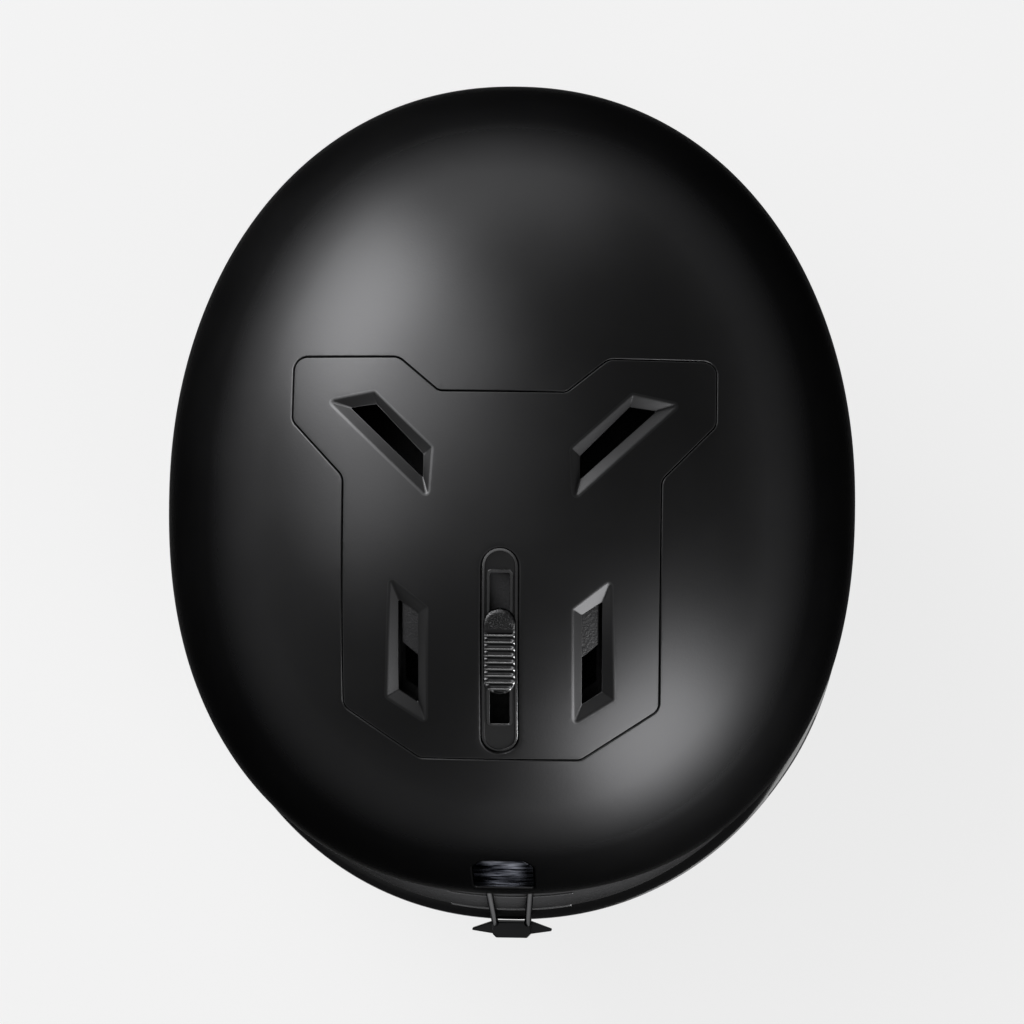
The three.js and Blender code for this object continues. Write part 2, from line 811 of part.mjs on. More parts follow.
function dialHousing() {
  const [front, rear] = [fitStation - housingDepth / 2, fitStation + housingDepth / 2];
  const high = housingFoot + housingHeight;
  const body = solid(block(-housingHalf, housingHalf, front, rear, housingFoot, high));
  const tunnel = block(-housingHalf - 5, housingHalf + 5, front + housingWall, rear - housingWall,
    housingFoot + housingWall, high - housingWall);
  const shaftHole = pin('y', shaftRadius + touchGap, fitStation, rear + 5, 0, dialLevel);
  return body.subtract(solid(tunnel)).subtract(solid(shaftHole));
}

function dialPinion() {
  const points = [];
  for (let i = 0; i < pinionTeeth; i += 1) {
    const middle = Math.PI / 2 + (2 * Math.PI * i) / pinionTeeth;
    const corners = [[pitchRadius - toothDedendum, -toothRoot], [pitchRadius + toothAddendum, -toothTip],
      [pitchRadius + toothAddendum, toothTip], [pitchRadius - toothDedendum, toothRoot]];
    for (const [radius, offset] of corners) {
      const turn = middle + offset / radius;
      points.push([radius * Math.cos(turn), radius * Math.sin(turn)]);
    }
  }
  const gear = solid(lengthwise(outline(points), gearFrom, gearTo).translate(0, 0, dialLevel));
  return gear.add(solid(pin('y', shaftRadius, gearTo - 1, dialFrom + dialDepth - 2, 0, dialLevel)));
}

function fitDial() {
  const points = [];
  const steps = dialLobes * 4;
  for (let i = 0; i < steps; i += 1) {
    const turn = (2 * Math.PI * i) / steps;
    const radius = dialRadius - 0.55 * (1 - Math.cos(dialLobes * turn));
    points.push([radius * Math.cos(turn), radius * Math.sin(turn)]);
  }
  const face = dialFrom + dialDepth;
  const disc = solid(lengthwise(outline(points), dialFrom, face).translate(0, 0, dialLevel));
  return disc.subtract(solid(pin('y', shaftRadius + touchGap, dialFrom - 5, face - 1.5, 0, dialLevel)));
}

// the left rack lies over the pinion and the right one under it
function rack(side) {
  const level = pitchRadius + 0.3;
  const points = [[rackInner, level + toothDedendum + rackBack], [rackInner, level + toothDedendum]];
  const first = Math.ceil(rackInner / toothPitch);
  const last = Math.floor((housingHalf - 6) / toothPitch);
  for (let k = first; k < last; k += 1) {
    const middle = (k + 0.5) * toothPitch;
    points.push([middle - toothRoot, level + toothDedendum], [middle - toothTip, level - toothAddendum],
      [middle + toothTip, level - toothAddendum], [middle + toothRoot, level + toothDedendum]);
  }
  const end = rackInner + rackLength;
  points.push([end, level + toothDedendum], [end, level + toothDedendum + rackBack]);
  const bar = lengthwise(outline(points), gearFrom, gearTo);
  if (side < 0) bar.rotateY(Math.PI);
  return solid(bar.translate(0, 0, dialLevel));
}

function rackBand(side) {
  const low = pitchRadius + 0.3 + toothDedendum;
  const high = low + rackBack;
  return side > 0 ? [dialLevel + low, dialLevel + high] : [dialLevel - high, dialLevel - low];
}

function fitArm(side) {
  const inner = housingHalf + touchGap;
  const outer = inner + sleeveLength;
  const [front, rear] = [fitStation - housingDepth / 2 + 0.5, fitStation + housingDepth / 2 - 0.5];
  const low = housingFoot + 1;
  const high = housingFoot + housingHeight - 1;
  const [rackLow, rackHigh] = rackBand(side);
  let arm = solid(block(...span(side, inner, outer), front, rear, low, high));
  arm = arm.subtract(solid(block(...span(side, inner - 5, outer - 1.2), gearFrom - gearPlay,
    gearTo + gearPlay, rackLow - gearPlay, rackHigh + gearPlay)));
  const curve = new THREE.QuadraticBezierCurve(new THREE.Vector2(outer - 1, fitStation),
    new THREE.Vector2(armHalf, fitStation - 4), new THREE.Vector2(armHalf, armFront));
  const points = curve.getPoints(8);
  const offset = (way) => points.map((p, i) => {
    const along = curve.getTangent(i / 8);
    return [side * (p.x + way * along.y * (armWall / 2)), p.y - way * along.x * (armWall / 2)];
  });
  const ribbon = outline([...offset(1), ...offset(-1).reverse()]);
  arm = arm.add(solid(upright(ribbon, dialLevel - armHeight / 2, dialLevel + armHeight / 2)));
  const [x0, x1] = span(side, armHalf - armWall / 2, armHalf + armWall / 2);
  const foot = dialLevel - armHeight / 2;
  arm = arm.add(solid(block(x0, x1, armFront, armFront + armTab, foot, armPinLevel + 6)));
  return arm.add(sidePin(side, anchorPin, armHalf, armPinReach, armFront + armTab / 2, armPinLevel));
}

function napePad() {
  const front = fitStation - housingDepth / 2 - touchGap;
  return solid(block(-housingHalf, housingHalf, front - napePadWall, front, housingFoot - 2,
    housingFoot + housingHeight + 2));
}

// ---- goggle retainer, drawn about its pivot ----
function retainerBase() {
  const [low, high] = [retainerPivotUp - retainerBaseRise, retainerPivotUp + retainerBaseRise];
  const face = retainerPivotOut + retainerWire + retainerBaseWall;
  const body = solid(block(-retainerBaseHalf, retainerBaseHalf, face - 12, face, low, high));
  const bore = pin('x', retainerWire + touchGap, -20, 20, retainerPivotOut, retainerPivotUp);
  return body.subtract(skirt(-touchGap)).subtract(solid(bore));
}

function retainerBail() {
  let wire = solid(pin('x', retainerWire, -retainerHalfTop - 0.4, retainerHalfTop + 0.4, 0, 0, 10));
  for (const side of [-1, 1]) {
    const top = new THREE.Vector3(side * retainerHalfTop, 0, 0);
    const foot = new THREE.Vector3(side * retainerHalfFoot, retainerOut, -retainerDrop);
    const run = foot.clone().sub(top);
    const leg = new THREE.CylinderGeometry(retainerWire, retainerWire, run.length(), 8);
    run.normalize();
    leg.applyQuaternion(new THREE.Quaternion().setFromUnitVectors(new THREE.Vector3(0, 1, 0), run));
    const middle = top.add(foot).multiplyScalar(0.5);
    wire = wire.add(solid(leg.translate(middle.x, middle.y, middle.z)));
  }
  return wire;
}

function retainerHook() {
  const near = retainerOut - hookStandoff;
  const far = hookReach - retainerPivotOut;
  const high = -retainerDrop - retainerWire;
  const foot = high - hookHeight;
  const bodyHalf = [[0, near], [hookHalf, near], [hookHalf, far - hookChamfer], [hookHalf - hookChamfer, far],
    [0, far]];
  const wingHalf = [[0, near], [hookHalf, near], [hookWingHalf, near + hookWingTip],
    [hookWingHalf, near + hookWingTip + hookWingEdge], [hookHalf, far - hookChamfer], [0, far - hookChamfer]];
  const plan = (half) => outline([...half, ...mirrored(half.slice(1, -1))]);
  const wing = upright(plan(wingHalf), foot + hookWingRise, foot + hookWingRise + hookWingWall);
  return solid(upright(plan(bodyHalf), foot, high)).add(solid(wing));
}

// ---- assembly: the head sits astride the widest station, which is a little ahead of the middle ----
const helmet = new THREE.Group();
helmet.position.y = (frontReach - hookReach) / 2;

function place(name, body, material, parent = helmet) {
  const mesh = new THREE.Mesh(surface(body), material);
  mesh.name = name;
  parent.add(mesh);
}

helmet.add(sliderGroup);
place('outer_shell', outerShell(), shellBlack);
place('crown_panel', crownPanel(), shellBlack);
place('rear_badge', rearBadge(), platedGrey);
place('lower_shell', lowerShell(), bandGrey);
place('edge_trim', edgeTrim(), glossBlack);
place('eps_liner', epsLiner(), foam);
place('slider_track', sliderTrack(), nylon, sliderGroup);
place('slider_knob', sliderKnob(), nylon, sliderGroup);
place('vent_shutter', ventShutter(), bandGrey, sliderGroup);
place('shutter_screw', shutterScrew(), steel, sliderGroup);
place('brow_pad', browPad(), padCloth);
place('crown_pad', crownPad(), padCloth);
place('dial_housing', dialHousing(), nylon);
place('dial_pinion', dialPinion(), nylon);
place('fit_dial', fitDial(), nylon);
place('nape_pad', napePad(), padCloth);
for (const [name, side] of [['left', 1], ['right', -1]]) {
  place(`side_pad_${name}`, sidePad(side), padCloth);
  place(`ear_pad_${name}`, earPad(side), padCloth);
  place(`ear_bar_${name}`, earBar(side), nylon);
  place(`strap_front_${name}`, sideWeb(side, anchorFront, false), webbing);
  place(`strap_rear_${name}`, sideWeb(side, anchorRear, true), webbing);
  place(`anchor_front_${name}`, webAnchor(side, anchorFront), steel);
  place(`anchor_rear_${name}`, webAnchor(side, anchorRear), steel);
  place(`strap_divider_${name}`, webDivider(side), nylon);
  place(`rack_${name}`, rack(side), nylon);
  place(`fit_arm_${name}`, fitArm(side), nylon);
}
place('chin_strap_left', chinWeb(1, socketOuter + touchGap), webbing);
place('chin_strap_right', chinWeb(-1, -(socketInner - touchGap - plugReach + 10)), webbing);
place('buckle_socket', buckleSocket(), nylon);
place('buckle_plug', bucklePlug(), nylon);
place('chin_pad', chinPad(), padCloth);
place('retainer_base', retainerBase(), nylon);

const retainer = new THREE.Group();
retainer.position.set(0, retainerPivotOut, retainerPivotUp);
helmet.add(retainer);
place('retainer_bail', retainerBail(), nylon, retainer);
place('retainer_hook', retainerHook(), nylon, retainer);

export default helmet;
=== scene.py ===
import json
import math

import bmesh
import bpy
import numpy as np
from mathutils import Matrix, Vector
from mathutils.geometry import delaunay_2d_cdt


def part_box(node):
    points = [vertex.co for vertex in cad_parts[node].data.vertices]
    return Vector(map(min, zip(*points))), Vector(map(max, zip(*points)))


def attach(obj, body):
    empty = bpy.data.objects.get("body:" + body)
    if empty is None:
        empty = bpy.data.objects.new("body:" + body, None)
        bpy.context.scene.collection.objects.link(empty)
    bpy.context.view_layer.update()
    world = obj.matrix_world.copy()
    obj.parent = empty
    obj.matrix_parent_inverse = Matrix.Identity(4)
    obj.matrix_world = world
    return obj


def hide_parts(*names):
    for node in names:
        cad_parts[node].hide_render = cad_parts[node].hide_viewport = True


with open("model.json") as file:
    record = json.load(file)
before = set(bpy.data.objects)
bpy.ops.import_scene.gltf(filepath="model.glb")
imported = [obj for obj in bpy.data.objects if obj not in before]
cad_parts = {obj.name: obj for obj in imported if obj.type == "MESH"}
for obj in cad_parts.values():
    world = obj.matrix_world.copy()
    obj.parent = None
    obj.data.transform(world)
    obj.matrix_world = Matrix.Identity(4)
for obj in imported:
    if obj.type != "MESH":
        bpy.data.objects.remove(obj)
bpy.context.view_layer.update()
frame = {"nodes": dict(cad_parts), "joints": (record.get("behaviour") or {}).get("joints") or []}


# ---------------------------------------------------------------------------------------
# Hard shell. One injection-moulded ABS cap, 2.4 mm thick, satin black, pulled down over the
# foam as far as the crease above the lower shell. The crown panel is let into its top.
# ---------------------------------------------------------------------------------------
shell_low, shell_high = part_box("outer_shell")
widest_station = -0.00375
half_width = shell_high[0]
front_reach = widest_station - shell_low[1]
rear_reach = shell_high[1] - widest_station
equator = 0.097
crown_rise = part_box("crown_panel")[1][2] - equator
front_squareness = 2.12
rear_squareness = 2.25
front_rear_blend = 0.6
shell_wall = 0.0024
crease_side = 0.096
crease_front_drop = 0.003
crease_rear_drop = 0.017
crease_front_run = (-0.14, -0.02)
crease_rear_run = (0.02, 0.132)
shell_lip = 0.0007
tuck_depth = 0.4
shell_dome = (half_width, front_reach, rear_reach, crown_rise, tuck_depth)


def smooth(low, high, value):
    t = np.clip((value - low) / (high - low), 0.0, 1.0)
    return t * t * (3.0 - 2.0 * t)


def rear_share(sine):
    return smooth(-front_rear_blend, front_rear_blend, sine)


def squareness(sine, share, rear_power=rear_squareness):
    rim_power = front_squareness + (rear_power - front_squareness) * rear_share(sine)
    return 2.0 + (rim_power - 2.0) * share ** 4


def bent(value, power):
    return np.sign(value) * np.abs(value) ** (2.0 / power)


def plan_point(turn, share, half, front, rear, rear_power=rear_squareness):
    """A point of the helmet's plan outline at a share of its full size."""
    sine = np.sin(turn)
    power = squareness(sine, share, rear_power)
    reach = front + (rear - front) * rear_share(sine)
    return half * share * bent(np.cos(turn), power), reach * share * bent(sine, power) + widest_station


def lay_on(dome, sheet, depth):
    """Lays points of an unrolled dome, as tilt times bearing, on its skin or at a depth below it."""
    half, front, rear, rise, tuck = dome
    sheet = np.asarray(sheet, dtype=float)
    tilt = np.hypot(sheet[:, 0], sheet[:, 1])
    turn = np.arctan2(sheet[:, 1], sheet[:, 0])
    upper = np.minimum(tilt, math.pi / 2)
    under = np.maximum(tilt - math.pi / 2, 0.0)
    share = np.sin(upper) * np.sqrt(1.0 - (under * rise / tuck) ** 2)
    depth = np.broadcast_to(depth, tilt.shape)
    x, y = plan_point(turn, share, half - depth, front - depth, rear - depth)
    z = equator + (rise - depth) * np.cos(upper) - under * rise
    return np.column_stack([x, y, z])


def unrolled(dome, plan):
    """Finds where points given in plan lie on an unrolled dome."""
    half, front, rear = dome[:3]
    plan = np.asarray(plan, dtype=float)
    x, y = plan[:, 0], plan[:, 1] - widest_station
    share, sine = np.full(len(plan), 0.5), np.sign(y) * 0.5
    for _ in range(40):
        power = squareness(sine, share)
        along = np.abs(y) / (front + (rear - front) * rear_share(sine))
        across = np.abs(x) / half
        share = 0.5 * share + 0.5 * (across ** power + along ** power) ** (1.0 / power)
        sine = np.sign(y) * np.minimum(1.0, along / np.maximum(share, 1e-9)) ** (power / 2)
    turn = np.arctan2(sine, np.sign(x) * np.sqrt(np.maximum(0.0, 1.0 - sine ** 2)))
    tilt = np.arcsin(np.clip(share, 0.0, 1.0))
    return np.column_stack([tilt * np.cos(turn), tilt * np.sin(turn)])


def skin(sheet, depth=0.0):
    return lay_on(shell_dome, sheet, depth)


def unroll(plan):
    return unrolled(shell_dome, plan)


def crease_height(y):
    y = y - widest_station
    front = crease_front_drop * (1.0 - smooth(*crease_front_run, y))
    return crease_side - front - crease_rear_drop * smooth(*crease_rear_run, y)


def crease_ring(lift, steps=360):
    turn = np.linspace(0.0, 2.0 * math.pi, steps, endpoint=False)
    _, y = plan_point(turn, 1.0, half_width, front_reach, rear_reach)
    tilt = math.pi / 2 + (equator - crease_height(y) - lift) / crown_rise
    return np.column_stack([tilt * np.cos(turn), tilt * np.sin(turn)])


def rounded_loop(corners, radii, side_steps=10, corner_steps=7):
    """A closed outline with its corners rounded, the same count of points whatever its size."""
    corners = [np.asarray(c, dtype=float) for c in corners]
    count = len(corners)
    ends, arcs = [], []
    for i, here in enumerate(corners):
        back, ahead = corners[i - 1] - here, corners[(i + 1) % count] - here
        back_run, ahead_run = np.linalg.norm(back), np.linalg.norm(ahead)
        back, ahead = back / back_run, ahead / ahead_run
        half_angle = math.acos(np.clip(np.dot(back, ahead), -1.0, 1.0)) / 2
        set_back = min(radii[i] / math.tan(half_angle), 0.45 * back_run, 0.45 * ahead_run)
        start, end = here + back * set_back, here + ahead * set_back
        t = np.linspace(0.0, 1.0, corner_steps)[:, None]
        bend = 2 * t * (1 - t) * (here * 0.72 + (start + end) * 0.14)
        arcs.append((1 - t) ** 2 * start + bend + t ** 2 * end)
        ends.append((start, end))
    points = []
    for i in range(count):
        points.extend(arcs[i])
        start, end = ends[i][1], ends[(i + 1) % count][0]
        points.extend(start + (end - start) * k / side_steps for k in range(1, side_steps))
    return np.array(points)


def grown(loop, by):
    """Moves a dense closed outline outward (or inward where negative) along its own normals."""
    along = np.roll(loop, -1, axis=0) - np.roll(loop, 1, axis=0)
    along /= np.linalg.norm(along, axis=1)[:, None]
    area = np.sum(loop[:, 0] * np.roll(loop[:, 1], -1) - np.roll(loop[:, 0], -1) * loop[:, 1])
    normal = np.column_stack([along[:, 1], -along[:, 0]]) * np.sign(area)
    return loop + normal * by


def inside(points, loops):
    """Even-odd test of points against closed outlines."""
    result = np.zeros(len(points), dtype=bool)
    for loop in loops:
        a, b = loop, np.roll(loop, -1, axis=0)
        for (ax, ay), (bx, by) in zip(a, b):
            crosses = (ay > points[:, 1]) != (by > points[:, 1])
            at = ax + (points[:, 1] - ay) * (bx - ax) / ((by - ay) or 1e-12)
            result ^= crosses & (points[:, 0] < at)
    return result


def filled(loops, spacing):
    """Fills the space between closed outlines with evenly spread triangles."""
    everything = np.vstack(loops)
    low, high = everything.min(axis=0), everything.max(axis=0)
    columns = np.arange(low[0], high[0], spacing)
    rows = np.arange(low[1], high[1], spacing * 0.866)
    grid = np.array([(x + (spacing / 2 if j % 2 else 0.0), y) for j, y in enumerate(rows) for x in columns])
    grid = grid[inside(grid, loops)]
    keep = np.ones(len(grid), dtype=bool)
    for loop in loops:
        for start in range(0, len(loop), 64):
            gap = np.linalg.norm(grid[:, None, :] - loop[None, start:start + 64, :], axis=2).min(axis=1)
            keep &= gap > spacing * 0.45
    points = np.vstack(loops + [grid[keep]])
    edges, offset = [], 0
    for loop in loops:
        count = len(loop)
        edges += [(offset + i, offset + (i + 1) % count) for i in range(count)]
        offset += count
    flat = [Vector((x, y)) for x, y in points]
    verts, _, faces, _, _, _ = delaunay_2d_cdt(flat, edges, [], 0, 1e-9)
    verts = np.array([(v.x, v.y) for v in verts])
    faces = np.array([f for f in faces])
    middles = verts[faces].mean(axis=1)
    return verts, faces[inside(middles, loops)]


def joined(parts):
    """One list of points and faces from several."""
    points, faces, offset = [], [], 0
    for some_points, some_faces in parts:
        points.append(np.asarray(some_points, dtype=float))
        faces += [[int(i) + offset for i in face] for face in some_faces]
        offset += len(some_points)
    return np.vstack(points), faces


def strip(rings, closed=True):
    """Quads between rings of equal count."""
    count = len(rings[0])
    faces = []
    for r in range(len(rings) - 1):
        for i in range(count if closed else count - 1):
            j = (i + 1) % count
            faces.append([r * count + i, r * count + j, (r + 1) * count + j, (r + 1) * count + i])
    return np.vstack(rings), faces


def make_piece(name, points, faces, material, sharp=35.0, merge=2e-5, highlight_faces=(), highlight_material=None):
    """A mesh object from points and faces, welded, faced outward and smoothed below an angle. The faces in
    highlight_faces take highlight_material, a paler copy painted as a highlight.
    """
    mesh = bpy.data.meshes.new(name)
    mesh.from_pydata([tuple(p) for p in points], [], faces)
    for index in highlight_faces:
        mesh.polygons[index].material_index = 1
    shape = bmesh.new()
    shape.from_mesh(mesh)
    bmesh.ops.remove_doubles(shape, verts=shape.verts, dist=merge)
    bmesh.ops.dissolve_degenerate(shape, edges=shape.edges, dist=merge / 2)
    bmesh.ops.recalc_face_normals(shape, faces=shape.faces)
    if shape.calc_volume(signed=True) < 0:
        bmesh.ops.reverse_faces(shape, faces=shape.faces)
    limit = math.radians(sharp)
    for edge in shape.edges:
        edge.smooth = len(edge.link_faces) == 2 and edge.calc_face_angle(0.0) < limit
    for face in shape.faces:
        face.smooth = True
    shape.to_mesh(mesh)
    shape.free()
    piece = bpy.data.objects.new(name, mesh)
    bpy.context.scene.collection.objects.link(piece)
    mesh.materials.append(material)
    if highlight_material:
        mesh.materials.append(highlight_material)
    weighted = piece.modifiers.new("even_shading", "WEIGHTED_NORMAL")
    weighted.keep_sharp = True
    return piece


def feed(tree, node, inputs):
    """Sets a node's inputs to values, or links them where another node's output is given."""
    for socket, value in inputs.items():
        if isinstance(value, bpy.types.NodeSocket):
            tree.links.new(value, node.inputs[socket])
        else:
            node.inputs[socket].default_value = value


def add_node(tree, kind, output, inputs, **settings):
    """Adds a shader node, feeds it and returns one of its outputs."""
    node = tree.nodes.new("ShaderNode" + kind)
    for setting, value in settings.items():
        setattr(node, setting, value)
    feed(tree, node, inputs)
    return node.outputs[output]


def start_finish(name):
    """A new material with its node tree, its shader and the object's own coordinates."""
    material = bpy.data.materials.new(name)
    material.use_nodes = True
    tree = material.node_tree
    return material, tree, tree.nodes["Principled BSDF"], add_node(tree, "TexCoord", "Object", {})


def toned(colour, by, lift=0.0):
    return (*[min(1.0, c * by + lift) for c in colour], 1.0)


def mottled(tree, colour, low, high, pattern):
    """A colour that runs between two tones of itself along a pattern."""
    tones = {"A": toned(colour, low), "B": toned(colour, high), "Factor": pattern}
    return add_node(tree, "Mix", "Result", tones, data_type="RGBA")


def satin_plastic(name, colour, roughness, grain_size, grain_depth, edge_wear_and_highlight=0.0, slant=None):
    """Moulded plastic: fine moulded-in grain, faint uneven gloss and, with edge_wear_and_highlight, paler
    sharp edges, partly rubbed wear and partly a painted highlight.
    A soft-touch lacquer mutes the gloss seen at a slant, down to the share given as slant: metallic
    with a dark edge tint gives that."""
    material, tree, shader, place = start_finish(name)
    patches = add_node(tree, "TexNoise", "Fac", {"Scale": 34.0, "Detail": 5.0, "Vector": place})
    gloss = {"To Min": roughness - 0.035, "To Max": roughness + 0.035, "Value": patches}
    paint = mottled(tree, colour, 0.9, 1.12, patches)
    if edge_wear_and_highlight:
        # paler sharp edges: partly rubbed wear, partly a painted highlight
        edges = add_node(tree, "NewGeometry", "Pointiness", {})
        rubbed_and_lit_edges = {"From Min": 0.56, "From Max": 0.66, "To Max": edge_wear_and_highlight, "Value": edges}
        worn_and_lit = {"A": paint, "B": toned(colour, 3.0, 0.02),
                "Factor": add_node(tree, "MapRange", "Result", rubbed_and_lit_edges)}
        paint = add_node(tree, "Mix", "Result", worn_and_lit, data_type="RGBA")
    if slant is not None:
        leaning = add_node(tree, "LayerWeight", "Facing", {})
        muting = {"From Min": 0.33, "From Max": 0.54, "To Min": 1.0, "To Max": slant, "Value": leaning}
        muted = {0: paint, "Scale": add_node(tree, "MapRange", "Result", muting)}
        paint = add_node(tree, "VectorMath", "Vector", muted, operation="SCALE")
        feed(tree, shader, {"Metallic": 1.0, "Specular Tint": (0.0, 0.0, 0.0, 1.0)})
    grain = add_node(tree, "TexNoise", "Fac", {"Scale": 1.0 / grain_size, "Detail": 3.0, "Vector": place})
    bump = {"Strength": 0.5, "Distance": grain_depth, "Height": grain}
    feed(tree, shader, {"Base Color": paint, "Roughness": add_node(tree, "MapRange", "Result", gloss),
                        "Normal": add_node(tree, "Bump", "Normal", bump)})
    return material


shell_black = satin_plastic("shell_satin_black", (0.06, 0.06, 0.0615), 0.42, 0.0009, 0.00004,
                            edge_wear_and_highlight=0.25, slant=0.42)
# a paler copy of the shell black, not muted at a slant: painted highlight on the seam lips, the recess edge
# and the vent mouths
shell_edge_highlight = satin_plastic("shell_edge_painted_highlight", (0.085, 0.085, 0.087), 0.42, 0.0009, 0.00003, slant=1.0)

# left-hand half of the crown panel's outline, from its front edge back, in millimetres
panel_front, panel_notch = -47.8, -37.0
notch_half, notch_shoulder = 20.4, 33.6
brow_half, brow_rear = 68.3, -27.1
waist_half, waist_front, waist_rear = 51.0, -9.4, 64.6
tail_half, tail_rear = 25.9, 81.1


def panel_loop(grow):
    half = [
        (notch_half, panel_notch, 3.0), (notch_shoulder, panel_front, 4.0), (brow_half, panel_front, 4.0),
        (brow_half, brow_rear, 3.0), (waist_half, waist_front, 4.0), (waist_half, waist_rear, 3.5),
        (tail_half, tail_rear, 3.0),
    ]
    corners = [(x / 1000, y / 1000 + widest_station) for x, y, _ in half]
    radii = [r / 1000 for _, _, r in half]
    corners += [(-x, y) for x, y in reversed(corners)]
    radii += list(reversed(radii))
    return grown(rounded_loop(corners, radii), grow)


seam_gap = 0.00022
seam_lip = 0.0004


def edge_rings(loop, lip, wall, way=-1):
    """Rings that round an outline's edge over from the skin and take it down the wall."""
    steps = [(lip, 0.0), (lip * 0.55, lip * 0.12), (lip * 0.2, lip * 0.42), (0.0, lip), (0.0, wall)]
    return [(unroll(grown(loop, way * inward)), depth) for inward, depth in steps]


def laid(rings):
    return [skin(sheet, depth) for sheet, depth in rings]


seat_rings = edge_rings(panel_loop(seam_gap), seam_lip, shell_wall, way=1)
crease_rings = [
    (crease_ring(shell_lip), 0.0), (crease_ring(shell_lip * 0.4), shell_lip * 0.15),
    (crease_ring(0.0), shell_lip * 0.7), (crease_ring(0.0), shell_wall),
]

# left-hand half of the badge's outline, in millimetres
badge_half, badge_top, badge_foot = 10.0, 116.8, 126.8
badge_corner, badge_corner_drop = 3.2, 2.0


def badge_loop(grow):
    half = [(badge_half - badge_corner, badge_top), (badge_half, badge_top + badge_corner_drop),
            (badge_half, badge_foot)]
    corners = [(x / 1000, y / 1000 + widest_station) for x, y in half]
    corners += [(-x, y) for x, y in reversed(corners)]
    return grown(rounded_loop(corners, [0.0008] * 6, side_steps=8), grow)


badge_depth = 0.0016
badge_rings = edge_rings(badge_loop(0.0003), 0.0006, badge_depth, way=1)
outer_top = filled([seat_rings[0][0], crease_rings[0][0], badge_rings[0][0]], 0.021)
outer_under = filled([seat_rings[-1][0], crease_rings[-1][0]], 0.03)
badge_floor = filled([badge_rings[-1][0]], 0.021)
shell_points, shell_faces = joined([
    (skin(outer_top[0]), outer_top[1]),
    (skin(outer_under[0], shell_wall), outer_under[1]),
    (skin(badge_floor[0], badge_depth), badge_floor[1]),
    strip(laid(seat_rings)),
    strip(laid(crease_rings)),
    strip(laid(badge_rings)),
])
# the seat's lip takes the painted highlight material
seat_from = len(outer_top[1]) + len(outer_under[1]) + len(badge_floor[1])
seat_lip = range(seat_from, seat_from + 3 * len(seat_rings[0][0]))
hard_shell = make_piece("hard_shell", shell_points, shell_faces, shell_black,
                        highlight_faces=seat_lip, highlight_material=shell_edge_highlight)
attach(hard_shell, "helmet")
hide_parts("outer_shell")


# ---------------------------------------------------------------------------------------
# Crown panel. A second moulding of the same plastic, snapped flush into the top of the hard
# shell behind a thin groove. Four vents and the slider's recess pass through it.
# ---------------------------------------------------------------------------------------
# left-hand vents, each an opening and its bevelled mouth, in millimetres
front_vent = [(25.4, -16.9), (41.2, -33.0), (49.7, -31.8), (25.4, -9.4)]
front_mouth = [(22.6, -18.8), (41.4, -36.2), (55.6, -33.4), (23.5, -3.8)]
rear_vent = [(33.1, 30.2), (33.1, 59.6), (26.7, 63.7), (26.7, 34.4)]
rear_mouth = [(35.0, 23.6), (36.1, 61.0), (24.1, 68.5), (23.8, 32.4)]

slide = next(j for j in frame["joints"] if j["name"] == "vent_slide")
slide_pivot = np.array(slide["pos_m"])
slide_mid = 0.0474 + widest_station
mid_skin = skin(unroll([(0.0, slide_mid)]))[0]
slide_radius = math.hypot(mid_skin[1] - slide_pivot[1], mid_skin[2] - slide_pivot[2])
slide_lean = math.atan2(mid_skin[1] - slide_pivot[1], mid_skin[2] - slide_pivot[2])


def on_slide(points, depth=0.0):
    """Lays points given across and along the slider's arc, at a depth under the crown's centre line."""
    points = np.asarray(points, dtype=float)
    reach = np.sqrt((slide_radius - depth) ** 2 - points[:, 1] ** 2)
    y = slide_pivot[1] + points[:, 1] * math.cos(slide_lean) + reach * math.sin(slide_lean)
    z = slide_pivot[2] - points[:, 1] * math.sin(slide_lean) + reach * math.cos(slide_lean)
    return np.column_stack([points[:, 0], y, z])


def racetrack(half, length, end_steps=14, side_steps=30):
    straight = length / 2 - half
    turn = np.linspace(0.0, math.pi, end_steps)
    far = np.column_stack([half * np.cos(turn), straight + half * np.sin(turn)])
    run = np.linspace(straight, -straight, side_steps + 2)[1:-1]
    down = np.column_stack([np.full(side_steps, -half), run])
    return np.vstack([far, down, -far, -down])


recess_half, recess_length, recess_depth = 0.00615, 0.0705, 0.0012


def vent_loops(opening, mouth, side):
    def placed(corners, radius):
        corners = [(side * x / 1000, y / 1000 + widest_station) for x, y in corners]
        return rounded_loop(corners, [radius] * 4, side_steps=14)
    return placed(opening, 0.0003), placed(mouth, 0.0006)


def vent_rings(opening, mouth, side):
    inner, outer = vent_loops(opening, mouth, side)
    steps = [(0.0011, 0.0, 0.0), (0.0006, 0.0, 0.00005), (0.0002, 0.0, 0.00017), (0.0, 0.04, 0.0004),
             (0.0, 0.5, 0.00118), (0.0, 0.93, 0.00192), (0.0, 0.965, 0.00192), (0.0, 0.99, 0.00205),
             (0.0, 1.0, shell_wall)]
    return [(unroll(grown(outer + (inner - outer) * blend, out)), depth) for out, blend, depth in steps]


